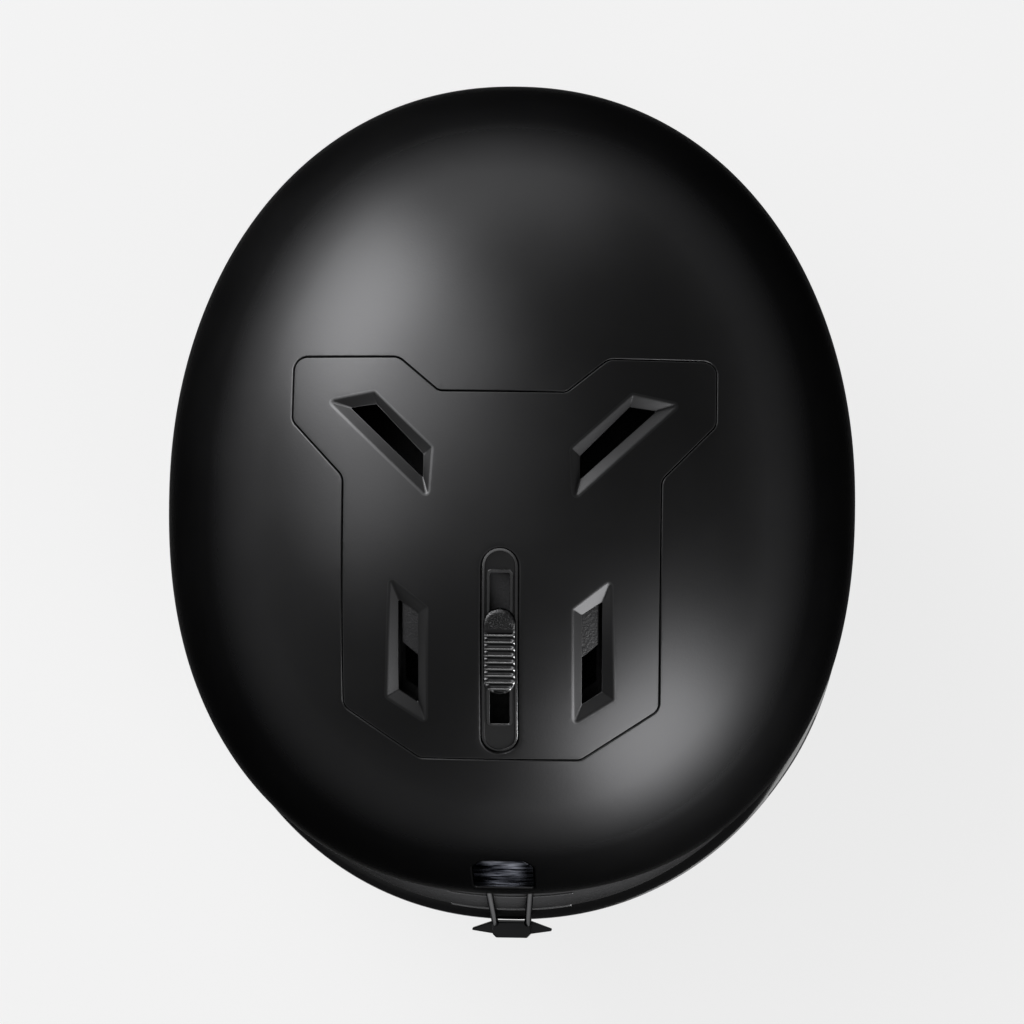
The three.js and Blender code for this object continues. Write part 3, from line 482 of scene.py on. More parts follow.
panel_edge = edge_rings(panel_loop(-0.0001), seam_lip, shell_wall)
slide_hole = [on_slide(racetrack(recess_half + out, recess_length + 2 * out))[:, :2]
              for out in (0.0005, 0.00015, 0.0)]
slide_rings = [(unroll(slide_hole[0]), 0.0), (unroll(slide_hole[1]), 0.00012),
               (unroll(slide_hole[2]), 0.0005), (unroll(slide_hole[2]), shell_wall)]
vent_pairs = ((front_vent, front_mouth), (rear_vent, rear_mouth))
vent_shapes = [(opening, mouth, side) for opening, mouth in vent_pairs for side in (1, -1)]
vents = [vent_rings(*shape) for shape in vent_shapes]
panel_borders = [panel_edge, slide_rings] + vents
panel_top = filled([rings[0][0] for rings in panel_borders], 0.017)
panel_under = filled([rings[-1][0] for rings in panel_borders], 0.025)
panel_points, panel_faces = joined(
    [(skin(panel_top[0]), panel_top[1]), (skin(panel_under[0], shell_wall), panel_under[1])]
    + [strip(laid(rings)) for rings in panel_borders])
# the first rings round the panel, the slider's recess and each vent mouth take the painted highlight
# material; bright counts them
highlight_faces, strip_from = [], len(panel_top[1]) + len(panel_under[1])
for rings, bright in zip(panel_borders, [3, 2] + [7] * len(vents)):
    highlight_faces += range(strip_from, strip_from + bright * len(rings[0][0]))
    strip_from += (len(rings) - 1) * len(rings[0][0])
crown_panel = make_piece("crown_cover", panel_points, panel_faces, shell_black,
                         highlight_faces=highlight_faces, highlight_material=shell_edge_highlight)
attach(crown_panel, "helmet")
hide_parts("crown_panel")


# ---------------------------------------------------------------------------------------
# Rear badge. A thin brushed aluminium plate glued into a recess at the back of the hard
# shell. It is left bare.
# ---------------------------------------------------------------------------------------
badge_skin, badge_wall = 0.0003, 0.001
badge_border = [(unroll(grown(badge_loop(0.0), out)), badge_skin + drop)
                for out, drop in ((-0.0004, 0.0), (-0.0001, 0.00006), (0.0, 0.00025), (0.0, badge_wall))]
badge_face = filled([badge_border[0][0]], 0.012)
badge_back = filled([badge_border[-1][0]], 0.012)
badge_points, badge_faces = joined([
    (skin(badge_face[0], badge_skin), badge_face[1]),
    (skin(badge_back[0], badge_skin + badge_wall), badge_back[1]),
    strip(laid(badge_border)),
])


def brushed_plate(name):
    """Brushed aluminium under a dark tinted lacquer with uneven patches; a painted reflection makes it
    brighter toward the middle and dark at both ends.
    """
    material, tree, shader, place = start_finish(name)
    layers = []
    for scale, detail in (((60.0, 2600.0, 2600.0), 4.0), ((90.0, 420.0, 420.0), 3.0)):
        run = add_node(tree, "Mapping", "Vector", {"Scale": scale, "Vector": place})
        layers.append(add_node(tree, "TexNoise", "Fac", {"Scale": 1.0, "Detail": detail, "Vector": run}))
    strokes, patches = layers
    both = add_node(tree, "Math", "Value", {0: strokes, 1: patches}, operation="MULTIPLY")
    tone = tree.nodes.new("ShaderNodeValToRGB")
    tone.color_ramp.elements[0].position = 0.2
    tone.color_ramp.elements[0].color = (0.02, 0.021, 0.027, 1.0)
    tone.color_ramp.elements[1].position = 0.38
    tone.color_ramp.elements[1].color = (0.62, 0.64, 0.72, 1.0)
    feed(tree, tone, {"Fac": both})
    # painted reflection: the colour is scaled down from the middle toward both ends
    across = add_node(tree, "SeparateXYZ", "X", {"Vector": place})
    out_from_middle = add_node(tree, "Math", "Value", {0: across}, operation="ABSOLUTE")
    painted_reflection_fade = {"From Min": 0.002, "From Max": 0.0085, "To Min": 1.0, "To Max": 0.12, "Value": out_from_middle}
    ends = add_node(tree, "MapRange", "Result", painted_reflection_fade, interpolation_type="SMOOTHSTEP")
    faded = {0: tone.outputs["Color"], "Scale": ends}
    rough = {"To Min": 0.28, "To Max": 0.42, "Value": strokes}
    bump = {"Strength": 0.3, "Distance": 0.00005, "Height": strokes}
    feed(tree, shader, {
        "Metallic": 1.0, "Specular Tint": (0.0, 0.0, 0.0, 1.0),
        "Base Color": add_node(tree, "VectorMath", "Vector", faded, operation="SCALE"),
        "Roughness": add_node(tree, "MapRange", "Result", rough),
        "Normal": add_node(tree, "Bump", "Normal", bump)})
    return material


badge_plate = make_piece("badge_plate", badge_points, badge_faces, brushed_plate("badge_brushed"))
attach(badge_plate, "helmet")
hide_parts("rear_badge")


# ---------------------------------------------------------------------------------------
# Slider track. A nylon insert that lines the recess: a floor with a long slot, a raised
# frame round the slot and a thin kerb against the panel.
# ---------------------------------------------------------------------------------------
track_gap = 0.0003
track_wall = 0.0012
slot_half, slot_front, slot_rear = 0.0032, -0.027, 0.0242
frame_wide, frame_rise = 0.001, 0.00035
nylon_black = satin_plastic("slider_nylon_black", (0.0095, 0.0095, 0.01), 0.46, 0.0005, 0.00003)


def track_loop(grow):
    return racetrack(track_half + grow, track_length + 2 * grow)


def slot_loop(grow):
    across, front, rear = slot_half + grow, slot_front - grow, slot_rear + grow
    corners = [(across, front), (across, rear), (-across, rear), (-across, front)]
    return rounded_loop(corners, [0.0005 + max(grow, 0.0)] * 4, side_steps=30)


kerb = [(-0.0011, recess_depth), (-0.00095, recess_depth - 0.0003), (-0.0003, recess_depth - 0.0003),
        (-0.0001, recess_depth - 0.0002), (0.0, recess_depth), (0.0, recess_depth + track_wall)]
slot_frame = [(frame_wide + 0.0001, recess_depth), (frame_wide - 0.0001, recess_depth - frame_rise),
              (0.0001, recess_depth - frame_rise), (0.0, recess_depth - frame_rise + 0.0001),
              (0.0, recess_depth + track_wall)]
track_half, track_length = recess_half - track_gap, recess_length - 2 * track_gap
kerb_rings = [on_slide(track_loop(grow), depth) for grow, depth in kerb]
slot_rings = [on_slide(slot_loop(grow), depth) for grow, depth in slot_frame]
floor_face = filled([track_loop(kerb[0][0]), slot_loop(slot_frame[0][0])], 0.0016)
back_face = filled([track_loop(0.0), slot_loop(0.0)], 0.0022)
track_points, track_faces = joined([
    (on_slide(floor_face[0], recess_depth), floor_face[1]),
    (on_slide(back_face[0], recess_depth + track_wall), back_face[1]),
    strip(kerb_rings), strip(slot_rings),
])
# the kerb and the slot frame take a pale copy of the black: a painted highlight
insert_edge_highlight = satin_plastic("slider_insert_edge_painted_highlight", (0.3, 0.3, 0.305), 0.24, 0.0012, 0.00002, slant=1.0)
insert_highlight_faces = range(len(floor_face[1]) + len(back_face[1]), len(track_faces))
slide_insert = make_piece("slide_insert", track_points, track_faces, nylon_black,
                          highlight_faces=insert_highlight_faces, highlight_material=insert_edge_highlight)
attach(slide_insert, "helmet")
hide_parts("slider_track")


# ---------------------------------------------------------------------------------------
# Slider knob. A moulded thumb piece, finely textured at the front and cross-ribbed behind,
# with a neck through the slot down to the shutter.
# ---------------------------------------------------------------------------------------
knob_half, knob_length, knob_proud, knob_middle = 0.0052, 0.029, 0.0011, -0.0014
knob_foot = recess_depth - 0.0003
rib_first, rib_pitch, rib_count, rib_groove = -0.007, 0.0023, 9, 0.0009
neck_half, neck_length, neck_foot = 0.0028, 0.014, 0.0028
knob_round, rib_margin, rib_run, rib_widening, highlight_crest = 0.0011, 0.0003, 0.0009, 0.12, -0.6
knob_black = satin_plastic("knob_satin_black", (0.11, 0.11, 0.113), 0.3, 0.0005, 0.00002, slant=0.5)
knob_grained = satin_plastic("knob_grained_black", (0.09, 0.09, 0.092), 0.28, 0.0005, 0.0006, slant=0.5)
# the crests of the ribs take a pale copy of the black: a painted highlight
knob_crest_highlight = satin_plastic("knob_crest_painted_highlight", (0.5, 0.5, 0.505), 0.22, 0.0006, 0.00002,
                              slant=0.9)


def knob_height(across, along):
    """Depth of the knob's top face under the crown's line: rounded edges, and grooves between the ribs."""
    straight = knob_length / 2 - knob_half
    into_end = np.maximum(np.abs(along) - straight, 0.0)
    edge = np.maximum(knob_half - np.hypot(across, into_end), 0.0)
    rounding = knob_round * (1.0 - np.sqrt(1.0 - (1.0 - np.minimum(edge / knob_round, 1.0)) ** 2))
    phase = (along - rib_first) / rib_pitch
    in_ribs = (phase > 0.0) & (phase < rib_count)
    cut = np.clip(0.5 + 0.5 * np.cos(2.0 * math.pi * phase) + rib_widening, 0.0, 1.0)
    flank = smooth(0.0, rib_run, edge - rib_margin)
    return -knob_proud + rounding + in_ribs * cut * rib_groove * flank


def around(rows):
    """The outer edge of a grid of rows, as one closed ring."""
    first, last = [row[0] for row in rows], [row[-1] for row in rows[::-1]]
    return np.vstack([first, rows[-1][1:-1], last, rows[0][-2:0:-1]])


rib_stations = rib_first + rib_pitch * np.linspace(0, rib_count, rib_count * 14 + 1)
stations = np.unique(np.concatenate([np.linspace(-0.5, 0.5, 50) * (knob_length - 2e-5), rib_stations]))
spread = np.sin(np.linspace(-math.pi / 2, math.pi / 2, 27))
knob_cells = []
for along in stations:
    into_end = max(abs(along) - (knob_length / 2 - knob_half), 0.0)
    across = spread * math.sqrt(max(knob_half ** 2 - into_end ** 2, 1e-10))
    knob_cells.append(np.column_stack([across, np.full_like(across, along)]))
placed_cells = [row + np.array([0.0, knob_middle]) for row in knob_cells]
knob_top = [on_slide(put, knob_height(row[:, 0], row[:, 1])) for put, row in zip(placed_cells, knob_cells)]
knob_under = [on_slide(put, knob_foot) for put in placed_cells]
neck = racetrack(neck_half, neck_length)
neck_cap = filled([neck], 0.0012)
knob_points, knob_faces = joined([
    strip(knob_top, closed=False), strip(knob_under, closed=False),
    strip([around(knob_top), around(knob_under)])])
knob = make_piece("slide_knob", knob_points, knob_faces, knob_black, sharp=50.0, merge=5e-6)
knob.data.materials.append(knob_grained)
knob.data.materials.append(knob_crest_highlight)
grain_end = on_slide(np.array([(0.0, rib_first + knob_middle - 0.0004)]))[0]
for face in knob.data.polygons:
    across, back, up = np.array(face.center) - slide_pivot
    phase = (back * math.cos(slide_lean) - up * math.sin(slide_lean) - knob_middle - rib_first) / rib_pitch
    on_top = face.normal[2] > 0.6
    if on_top and face.center[1] < grain_end[1]:
        face.material_index = 1
    # rib crests: painted highlight
    elif on_top and 0.0 < phase < rib_count and math.cos(2.0 * math.pi * phase) < highlight_crest:
        face.material_index = 2
neck_points, neck_faces = joined([
    strip([on_slide(neck, knob_foot), on_slide(neck, neck_foot)]),
    (on_slide(neck_cap[0], neck_foot), neck_cap[1])])
knob_neck = make_piece("slide_knob_neck", neck_points, neck_faces, nylon_black)
for piece in (knob, knob_neck):
    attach(piece, "vent_slider")
    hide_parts("slider_knob")


# ---------------------------------------------------------------------------------------
# Vent shutter. A thin curved plate of grained grey plastic under the panel. The knob drags
# it over the rear vents. A pan-head screw holds it to the knob's neck.
# ---------------------------------------------------------------------------------------
shutter_depth, shutter_wall, shutter_drop = 0.0031, 0.0012, 4.75
shutter_half = [(0.0314, -0.035), (0.0314, -0.0016), (0.022, 0.0057), (0.012, 0.009)]
shutter_corners = shutter_half + [(-x, y) for x, y in reversed(shutter_half)]
shutter_loop = rounded_loop(shutter_corners, [0.0006] * 8, side_steps=14)
shutter_grey = satin_plastic("shutter_grained_grey", (0.04, 0.04, 0.042), 0.42, 0.0009, 0.0004)


def under_panel(points, depth):
    return on_slide(points, depth + shutter_drop * points[:, 0] ** 2)


shutter_face = filled([grown(shutter_loop, -0.0003)], 0.0028)
shutter_edge = [(grown(shutter_loop, -0.0003), shutter_depth), (shutter_loop, shutter_depth + 0.0003),
                (shutter_loop, shutter_depth + shutter_wall)]
shutter_back = filled([shutter_loop], 0.0028)
shutter_points, shutter_faces = joined([
    (under_panel(shutter_face[0], shutter_depth), shutter_face[1]),
    (under_panel(shutter_back[0], shutter_depth + shutter_wall), shutter_back[1]),
    strip([under_panel(loop, depth) for loop, depth in shutter_edge])])
shutter = make_piece("shutter_plate", shutter_points, shutter_faces, shutter_grey)
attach(shutter, "vent_slider")
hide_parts("vent_shutter")


def plain_metal(name, colour, roughness):
    """Bare or plated metal with a fine haze."""
    material, tree, shader, place = start_finish(name)
    haze = add_node(tree, "TexNoise", "Fac", {"Scale": 900.0, "Vector": place})
    rough = {"To Min": roughness - 0.06, "To Max": roughness + 0.08, "Value": haze}
    feed(tree, shader, {"Base Color": (*colour, 1.0), "Metallic": 1.0,
                        "Roughness": add_node(tree, "MapRange", "Result", rough)})
    return material


zinc = plain_metal("zinc_plated_steel", (0.62, 0.63, 0.65), 0.3)


def turned(profile, steps=48):
    """Rings of points for a profile of radius and height turned about Z."""
    turn = np.linspace(0.0, 2.0 * math.pi, steps, endpoint=False)
    return [np.column_stack([r * np.cos(turn), r * np.sin(turn), np.full(steps, h)]) for r, h in profile]


head_rings = turned([
    (1e-5, 0.0), (0.0006, 0.0), (0.0012, 0.0), (0.0018, -0.00003), (0.0024, -0.0001), (0.00275, -0.0003),
    (0.003, -0.0007), (0.003, -0.0014), (0.0011, -0.0015), (0.0011, -0.004), (1e-5, -0.0042)])
for ring in head_rings[:4]:
    arms = np.minimum(np.abs(ring[:, 0]), np.abs(ring[:, 1])) < 0.0003
    ring[:, 2] -= np.where(arms & (np.hypot(ring[:, 0], ring[:, 1]) < 0.0017), 0.0007, 0.0)
screw_points, screw_faces = strip(head_rings)
screw_head_room = 0.0018
screw_out = mid_skin - np.array([0.0, *slide_pivot[1:]])
screw_out = screw_out / np.linalg.norm(screw_out)
screw_side = np.array([1.0, 0.0, 0.0])
screw_up = np.cross(screw_out, screw_side)
screw_seat = mid_skin - screw_out * (shutter_depth + shutter_wall + screw_head_room)
screw_points = (screw_seat - np.outer(screw_points[:, 2], screw_out)
                + np.outer(screw_points[:, 0], screw_side) + np.outer(screw_points[:, 1], screw_up))
screw = make_piece("shutter_pan_screw", screw_points, screw_faces, zinc)
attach(screw, "vent_slider")
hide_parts("shutter_screw")


# ---------------------------------------------------------------------------------------
# Lower shell. A softer grey moulding that shows below the crease: straight at the temples,
# flared at the nape so that a goggle strap can't ride up.
# ---------------------------------------------------------------------------------------
nest_gap = 0.0005
lower_wall = 0.0018
nape_flare, cheek_flare = 0.012, 0.0016
flare_top, flare_bottom, flare_squareness = 0.079, 0.046, 2.12
ear_rim, brow_rim, nape_rim = 0.062, 0.09, 0.04
ear_front, ear_rear = -0.048, 0.042
crease_lap = 0.006
rim_round = 0.0009
band_grey = satin_plastic("lower_shell_grey", (0.16, 0.16, 0.163), 0.42, 0.0012, 0.00005, slant=0.9)


def skirt_point(turn, height, inset=0.0):
    turn, height = np.broadcast_arrays(np.asarray(turn, dtype=float), np.asarray(height, dtype=float))
    flare = 1.0 - smooth(flare_bottom, flare_top, height)
    sine = np.sin(turn)
    back = shell_wall + nest_gap + inset
    half = half_width - back + cheek_flare * flare * smooth(0.0, 0.5, sine)
    rear = rear_reach - back + nape_flare * flare
    rear_power = rear_squareness + (flare_squareness - rear_squareness) * flare
    x, y = plan_point(turn, 1.0, half, front_reach - back, rear, rear_power)
    return np.column_stack([x, y, height])


def rim_height(y):
    y = y - widest_station
    rise = (brow_rim - ear_rim) * (1.0 - smooth(-0.128, ear_front, y))
    return ear_rim + rise - (ear_rim - nape_rim) * smooth(ear_rear, 0.108, y)


bearings = np.linspace(0.0, 2.0 * math.pi, 300, endpoint=False)
rim_line = rim_height(skirt_point(bearings, rim_height(skirt_point(bearings, ear_rim)[:, 1]))[:, 1])
lap_line = crease_height(skirt_point(bearings, 0.09)[:, 1]) + crease_lap
skirt_levels = np.linspace(0.0, 1.0, 22)
edge_round = [(0.0006, 0.0), (0.0002, 0.0003), (0.0, rim_round)]
skirt_rings = [skirt_point(bearings, lap_line + (rim_line - lap_line) * level, lower_wall)
               for level in skirt_levels]
skirt_rings += [skirt_point(bearings, rim_line + lift, inset) for inset, lift in edge_round]
skirt_rings += [skirt_point(bearings, lap_line + (rim_line + rim_round - lap_line) * level)
                for level in skirt_levels[::-1][1:]]
skirt_rings.append(skirt_rings[0])
lower_points, lower_faces = strip(skirt_rings)
lower_cover = make_piece("lower_cover", lower_points, lower_faces, band_grey)
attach(lower_cover, "helmet")
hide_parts("lower_shell")


def swept(path, radius, sides=14):
    """A round rod along a path of points, its ends domed."""
    path = np.asarray(path, dtype=float)
    along = np.gradient(path, axis=0)
    along /= np.linalg.norm(along, axis=1)[:, None]
    side = np.cross(along[0], (0.0, 0.0, 1.0))
    side = side if np.linalg.norm(side) > 0.1 else np.cross(along[0], (0.0, 1.0, 0.0))
    turn = np.linspace(0.0, 2.0 * math.pi, sides, endpoint=False)
    rings = []
    for here, way in zip(path, along):
        side = side - way * np.dot(side, way)
        side /= np.linalg.norm(side)
        over = np.cross(way, side)
        rings.append((here, way, np.outer(np.cos(turn), side) + np.outer(np.sin(turn), over)))
    dome = [(math.sin(a), 1.0 - math.cos(a)) for a in np.linspace(0.08, math.pi / 2, 6)]
    (first, first_way, first_ring), (last, last_way, last_ring) = rings[0], rings[-1]
    start = [first + first_way * radius * in_by + first_ring * radius * size for size, in_by in dome]
    close = [last - last_way * radius * in_by + last_ring * radius * size for size, in_by in dome[::-1]]
    loops = start + [here + spread_out * radius for here, _, spread_out in rings[1:-1]] + close
    points, faces = strip(loops)
    count = len(points)
    faces = list(faces) + [list(range(sides))[::-1], [count - sides + i for i in range(sides)]]
    return points, faces


# three low lines moulded across the nape, in a pale copy of the black that paints their highlights
nape_bead = 0.00035
nape_line = np.linspace(-0.165, 0.165, 27) + math.pi / 2
nape_lines = [swept(skirt_point(nape_line, level, -0.00005), nape_bead, 10)
              for level in (0.0615, 0.0503, 0.0472)]
line_points, line_faces = joined(nape_lines)
nape_line_highlight = satin_plastic("nape_line_painted_highlight", (0.3, 0.3, 0.305), 0.25, 0.0012, 0.00002, slant=1.0)
nape_beads = make_piece("lower_cover_nape_lines", line_points, line_faces, nape_line_highlight, sharp=60.0, merge=1e-6)
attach(nape_beads, "helmet")
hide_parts("lower_shell")


# ---------------------------------------------------------------------------------------
# Edge trim. A gloss black extrusion bonded round the rim, over the raw edges of the shell
# and the foam. It stands a little proud, and more so at the nape.
# ---------------------------------------------------------------------------------------
trim_proud, trim_nape_extra, trim_gap = 0.0024, 0.0018, 0.0003
trim_section = [
    (-6.4, 0.0), (-3.0, 0.0), (0.0, 0.0), (0.45, -0.05), (0.78, -0.3), (0.95, -0.75), (1.0, -1.4),
    (1.0, -2.6), (0.92, -3.3), (0.6, -3.9), (0.1, -4.3), (-0.6, -4.5), (-2.2, -4.3), (-6.1, -3.65),
    (-6.4, -3.4)]
trim_black = satin_plastic("edge_trim_gloss_black", (0.006, 0.006, 0.0065), 0.2, 0.003, 0.00002)


def trim_ring(across, down):
    """One line of the trim round the rim, across in shares of its stand-out, or in mm where inward."""
    proud = trim_proud + trim_nape_extra * smooth(0.0, 0.6, np.sin(bearings))
    inset = -across * proud if across > 0 else np.full_like(bearings, -across / 1000)
    ring = skirt_point(bearings, rim_line, inset)
    ring[:, 2] = np.minimum(rim_line, rim_height(ring[:, 1])) - trim_gap + down / 1000
    return ring


trim_rings = [trim_ring(across, down) for across, down in trim_section]
trim_points, trim_faces = strip(trim_rings + trim_rings[:1])
rim_trim = make_piece("rim_trim", trim_points, trim_faces, trim_black)
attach(rim_trim, "helmet")
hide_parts("edge_trim")


# ---------------------------------------------------------------------------------------
# Foam liner. Moulded expanded polystyrene glued inside both shells. It carries the head
# cavity, four vent channels, and a pocket in which the shutter runs.
# ---------------------------------------------------------------------------------------
head_half, head_front, head_rear, head_rise, head_tuck = 0.085, 0.107, 0.1, 0.086, 1.0
foam_gap = 0.0003
head_dome = (head_half, head_front, head_rear, head_rise, head_tuck)


def head_skin(sheet, inset=0.0):
    return lay_on(head_dome, sheet, inset)


def head_unroll(plan):
    return unrolled(head_dome, plan)


def bead_foam(name, colour):
    """Expanded polystyrene: pressed beads a few millimetres across with fine gaps between."""
    material, tree, shader, place = start_finish(name)
    beads = add_node(tree, "TexVoronoi", "Distance", {"Scale": 300.0, "Vector": place})
    bump = {"Strength": 0.6, "Distance": 0.0005, "Height": beads}
    feed(tree, shader, {"Roughness": 0.7, "Base Color": mottled(tree, colour, 1.5, 0.5, beads),
                        "Normal": add_node(tree, "Bump", "Normal", bump, invert=True)})
    return material


foam_black = bead_foam("liner_black_foam", (0.02, 0.02, 0.021))
foam_back = lower_wall + foam_gap
head_bearing_y = plan_point(bearings, 1.0, head_half, head_front, head_rear)[1]
head_rim = rim_height(head_bearing_y)
head_tilt = math.pi / 2 + (equator - head_rim) / head_rise
head_edge = np.column_stack([head_tilt * np.cos(bearings), head_tilt * np.sin(bearings)])
channels = [unroll(grown(vent_loops(*shape)[0], 0.0002)) for shape in vent_shapes]
channel_plans = [skin(loop)[:, :2] for loop in channels]
channel_feet = [head_unroll(plan) for plan in channel_plans]
cavity = filled([head_edge] + channel_feet, 0.045)
shoulder_tilt = math.pi / 2 + (equator - (lap_line + foam_gap)) / crown_rise
shoulder = np.column_stack([shoulder_tilt * np.cos(bearings), shoulder_tilt * np.sin(bearings)])
pocket_half, pocket_front, pocket_rear, pocket_depth = 0.0344, -0.0105, 0.0745, 0.0056
shutter_room = 0.0035
pocket_foot = pocket_depth + shutter_room
pocket_plan = [(pocket_half, pocket_front), (pocket_half, pocket_rear), (-pocket_half, pocket_rear),
               (-pocket_half, pocket_front)]
pocket_loop = unroll(rounded_loop(pocket_plan, [0.003] * 4, side_steps=30))
foam_depth = shell_wall + foam_gap
front_channels, rear_channels = channels[:2], channels[2:]
foam_top = filled([shoulder, pocket_loop] + front_channels, 0.05)
pocket_floor = filled([pocket_loop] + rear_channels, 0.03)
walls = [strip([skin(loop, foam_depth), head_skin(foot)])
         for loop, foot in zip(front_channels, channel_feet[:2])]
walls += [strip([skin(loop, pocket_foot), head_skin(foot)])
          for loop, foot in zip(rear_channels, channel_feet[2:])]
foam_rings = [skin(shoulder, foam_depth), skirt_point(bearings, lap_line + foam_gap, foam_back)]
foam_rings += [skirt_point(bearings, lap_line + (rim_line - lap_line) * level, foam_back)
               for level in skirt_levels[1:]]
foam_rings.append(head_skin(head_edge))
foam_points, foam_faces = joined([
    (skin(foam_top[0], foam_depth), foam_top[1]), (skin(pocket_floor[0], pocket_foot), pocket_floor[1]),
    strip([skin(pocket_loop, foam_depth), skin(pocket_loop, pocket_foot)]),
    (head_skin(cavity[0]), cavity[1]), strip(foam_rings)] + walls)
liner = make_piece("foam_liner", foam_points, foam_faces, foam_black)
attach(liner, "helmet")
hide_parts("eps_liner")


# ---------------------------------------------------------------------------------------
# Comfort pads. Brushed cloth over soft foam, sewn round the edge and held in the cavity by
# hook-and-loop dots: one over the crown, one at the brow and one at each temple.
# ---------------------------------------------------------------------------------------
pad_wall, pad_shoulder, pad_seam = 0.0065, 0.011, 0.0045
pad_steps = (0.0, 0.0004, 0.001, 0.002, 0.0032, pad_seam)
seam_half, seam_share = 0.0009, 0.13
channel_half, channel_share = 0.0014, 0.22
pattern_radius = 0.095


def cloth(name, colour, thread, raised, sheen=0.3):
    """Woven or knitted cloth: two crossed sets of threads and a faint uneven tone."""
    material, tree, shader, place = start_finish(name)
    wave = {"Scale": 0.314 / thread, "Distortion": 0.6, "Detail": 1.0, "Vector": place}
    threads = [add_node(tree, "TexWave", "Fac", wave, bands_direction=way) for way in ("X", "Y", "Z")]
    over = add_node(tree, "Math", "Value", {0: threads[0], 1: threads[1]}, operation="MAXIMUM")
    weave = add_node(tree, "Math", "Value", {0: over, 1: threads[2], 2: 0.2}, operation="MULTIPLY_ADD")
    patches = add_node(tree, "TexNoise", "Fac", {"Scale": 60.0, "Detail": 6.0, "Vector": place})
    bump = {"Strength": 0.6, "Distance": raised, "Height": weave}
    feed(tree, shader, {
        "Roughness": 0.9, "Sheen Weight": sheen, "Sheen Roughness": 0.5,
        "Base Color": mottled(tree, colour, 0.7, 1.3, patches),
        "Normal": add_node(tree, "Bump", "Normal", bump)})
    return material


def from_edge(points, loop):
    """Distance of each point from a closed outline."""
    ahead = np.roll(loop, -1, axis=0)
    nearest = np.full(len(points), 1e9)
    for start, end in zip(loop, ahead):
        run = end - start
        t = np.clip(((points - start) @ run) / (run @ run + 1e-18), 0.0, 1.0)
        nearest = np.minimum(nearest, np.linalg.norm(points - start - t[:, None] * run, axis=1))
    return nearest


def crowned(gap, wall, shoulder_run, seam_at=0.0, seam_deep=0.0):
    """Height of a padded face at a distance from its edge, with a stitched channel round it."""
    rise = np.sqrt(np.maximum(0.0, 1.0 - (1.0 - np.minimum(gap / shoulder_run, 1.0)) ** 2))
    channel = seam_deep * np.exp(-((gap - seam_at) / seam_half) ** 2) if seam_deep else 0.0
    return wall * (0.12 + 0.88 * rise) - channel


def pad_in_head(name, loop, lay, wall, spacing, channels=()):
    """A sewn pad on the head cavity; loop is its flat pattern in metres, which lay puts in place."""
    rings = [grown(loop, -by) for by in pad_steps]
    flat, faces = filled([rings[-1]], spacing)
    gap = from_edge(flat, loop)
    stitch = (pad_seam, wall * seam_share)
    height = crowned(gap, wall, pad_shoulder, *stitch)
    for middle, along in channels:
        height = height - wall * channel_share * np.exp(-(((flat - middle) @ along) / channel_half) ** 2)
    top = [lay(ring, foam_gap + crowned(np.full(len(ring), by), wall, pad_shoulder))
           for ring, by in zip(rings, pad_steps)]
    top[-1] = lay(rings[-1], foam_gap + crowned(np.full(len(loop), pad_seam), wall, pad_shoulder, *stitch))
    back, back_faces = filled([loop], spacing * 1.5)
    points, all_faces = joined([
        (lay(flat, foam_gap + height), faces), (lay(back, foam_gap), back_faces),
        strip([lay(loop, foam_gap)] + top)])
    return make_piece(name, points, all_faces, pad_cloth, sharp=60.0)


def lay_round(points, inset):
    """Lays a pattern measured along the cavity's wall and up it."""
    turn = points[:, 0] / pattern_radius
    level = points[:, 1]
    below = level < equator
    tilt = np.where(below, math.pi / 2 + (equator - level) / head_rise,
                    np.arccos(np.clip((level - equator) / (head_rise - np.mean(inset)), -1.0, 1.0)))
    return head_skin(np.column_stack([tilt * np.cos(turn), tilt * np.sin(turn)]), inset)


def lay_crown(points, inset):
    return head_skin(head_unroll(points), inset)


pad_cloth = cloth("pad_brushed_cloth", (0.022, 0.022, 0.024), 0.0009, 0.00015)
brow_middle = -math.pi / 2 * pattern_radius
brow_corners = [(brow_middle - 0.056, 0.0935), (brow_middle + 0.056, 0.0935), (brow_middle + 0.054, 0.1205),
                (brow_middle - 0.054, 0.1205)]
brow_loop = rounded_loop(brow_corners, [0.009] * 4, side_steps=26)
brow_pad = pad_in_head("brow_comfort_pad", brow_loop, lay_round, pad_wall, 0.0026,
                       [(np.array([brow_middle + s, 0.1]), np.array([1.0, 0.0])) for s in (-0.024, 0.024)])
side_pads = []
half_turn = math.pi * pattern_radius
for side, name in ((1, "left"), (-1, "right")):
    front, rear = (-0.0295, 0.0545) if side > 0 else (-0.0545 + half_turn, 0.0295 + half_turn)
    corners = [(front, 0.0805), (rear, 0.0805), (rear, 0.1065), (front, 0.1065)]
    loop = rounded_loop(corners, [0.008] * 4, side_steps=22)
    middle = (front + rear) / 2
    side_pads.append((pad_in_head(f"temple_pad_{name}", loop, lay_round, pad_wall, 0.0026,
                                  [(np.array([middle, 0.09]), np.array([1.0, 0.0]))]), f"side_pad_{name}"))
crown_low, crown_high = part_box("crown_pad")
crown_half, crown_reach = crown_high[0] - 0.0004, (crown_high[1] - crown_low[1]) / 2 - 0.0004
crown_turn = np.linspace(0.0, 2.0 * math.pi, 120, endpoint=False)
crown_loop = np.column_stack([crown_half * np.cos(crown_turn),
                              crown_reach * np.sin(crown_turn) + (crown_low[1] + crown_high[1]) / 2])
crown_pad = pad_in_head("crown_comfort_pad", crown_loop, lay_crown, pad_wall, 0.003,
                        [(np.array([s, 0.0]), np.array([1.0, 0.0])) for s in (-0.0165, 0.0165)])
for pad, node in [(brow_pad, "brow_pad"), (crown_pad, "crown_pad")] + side_pads:
    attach(pad, "helmet")
    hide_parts(node)


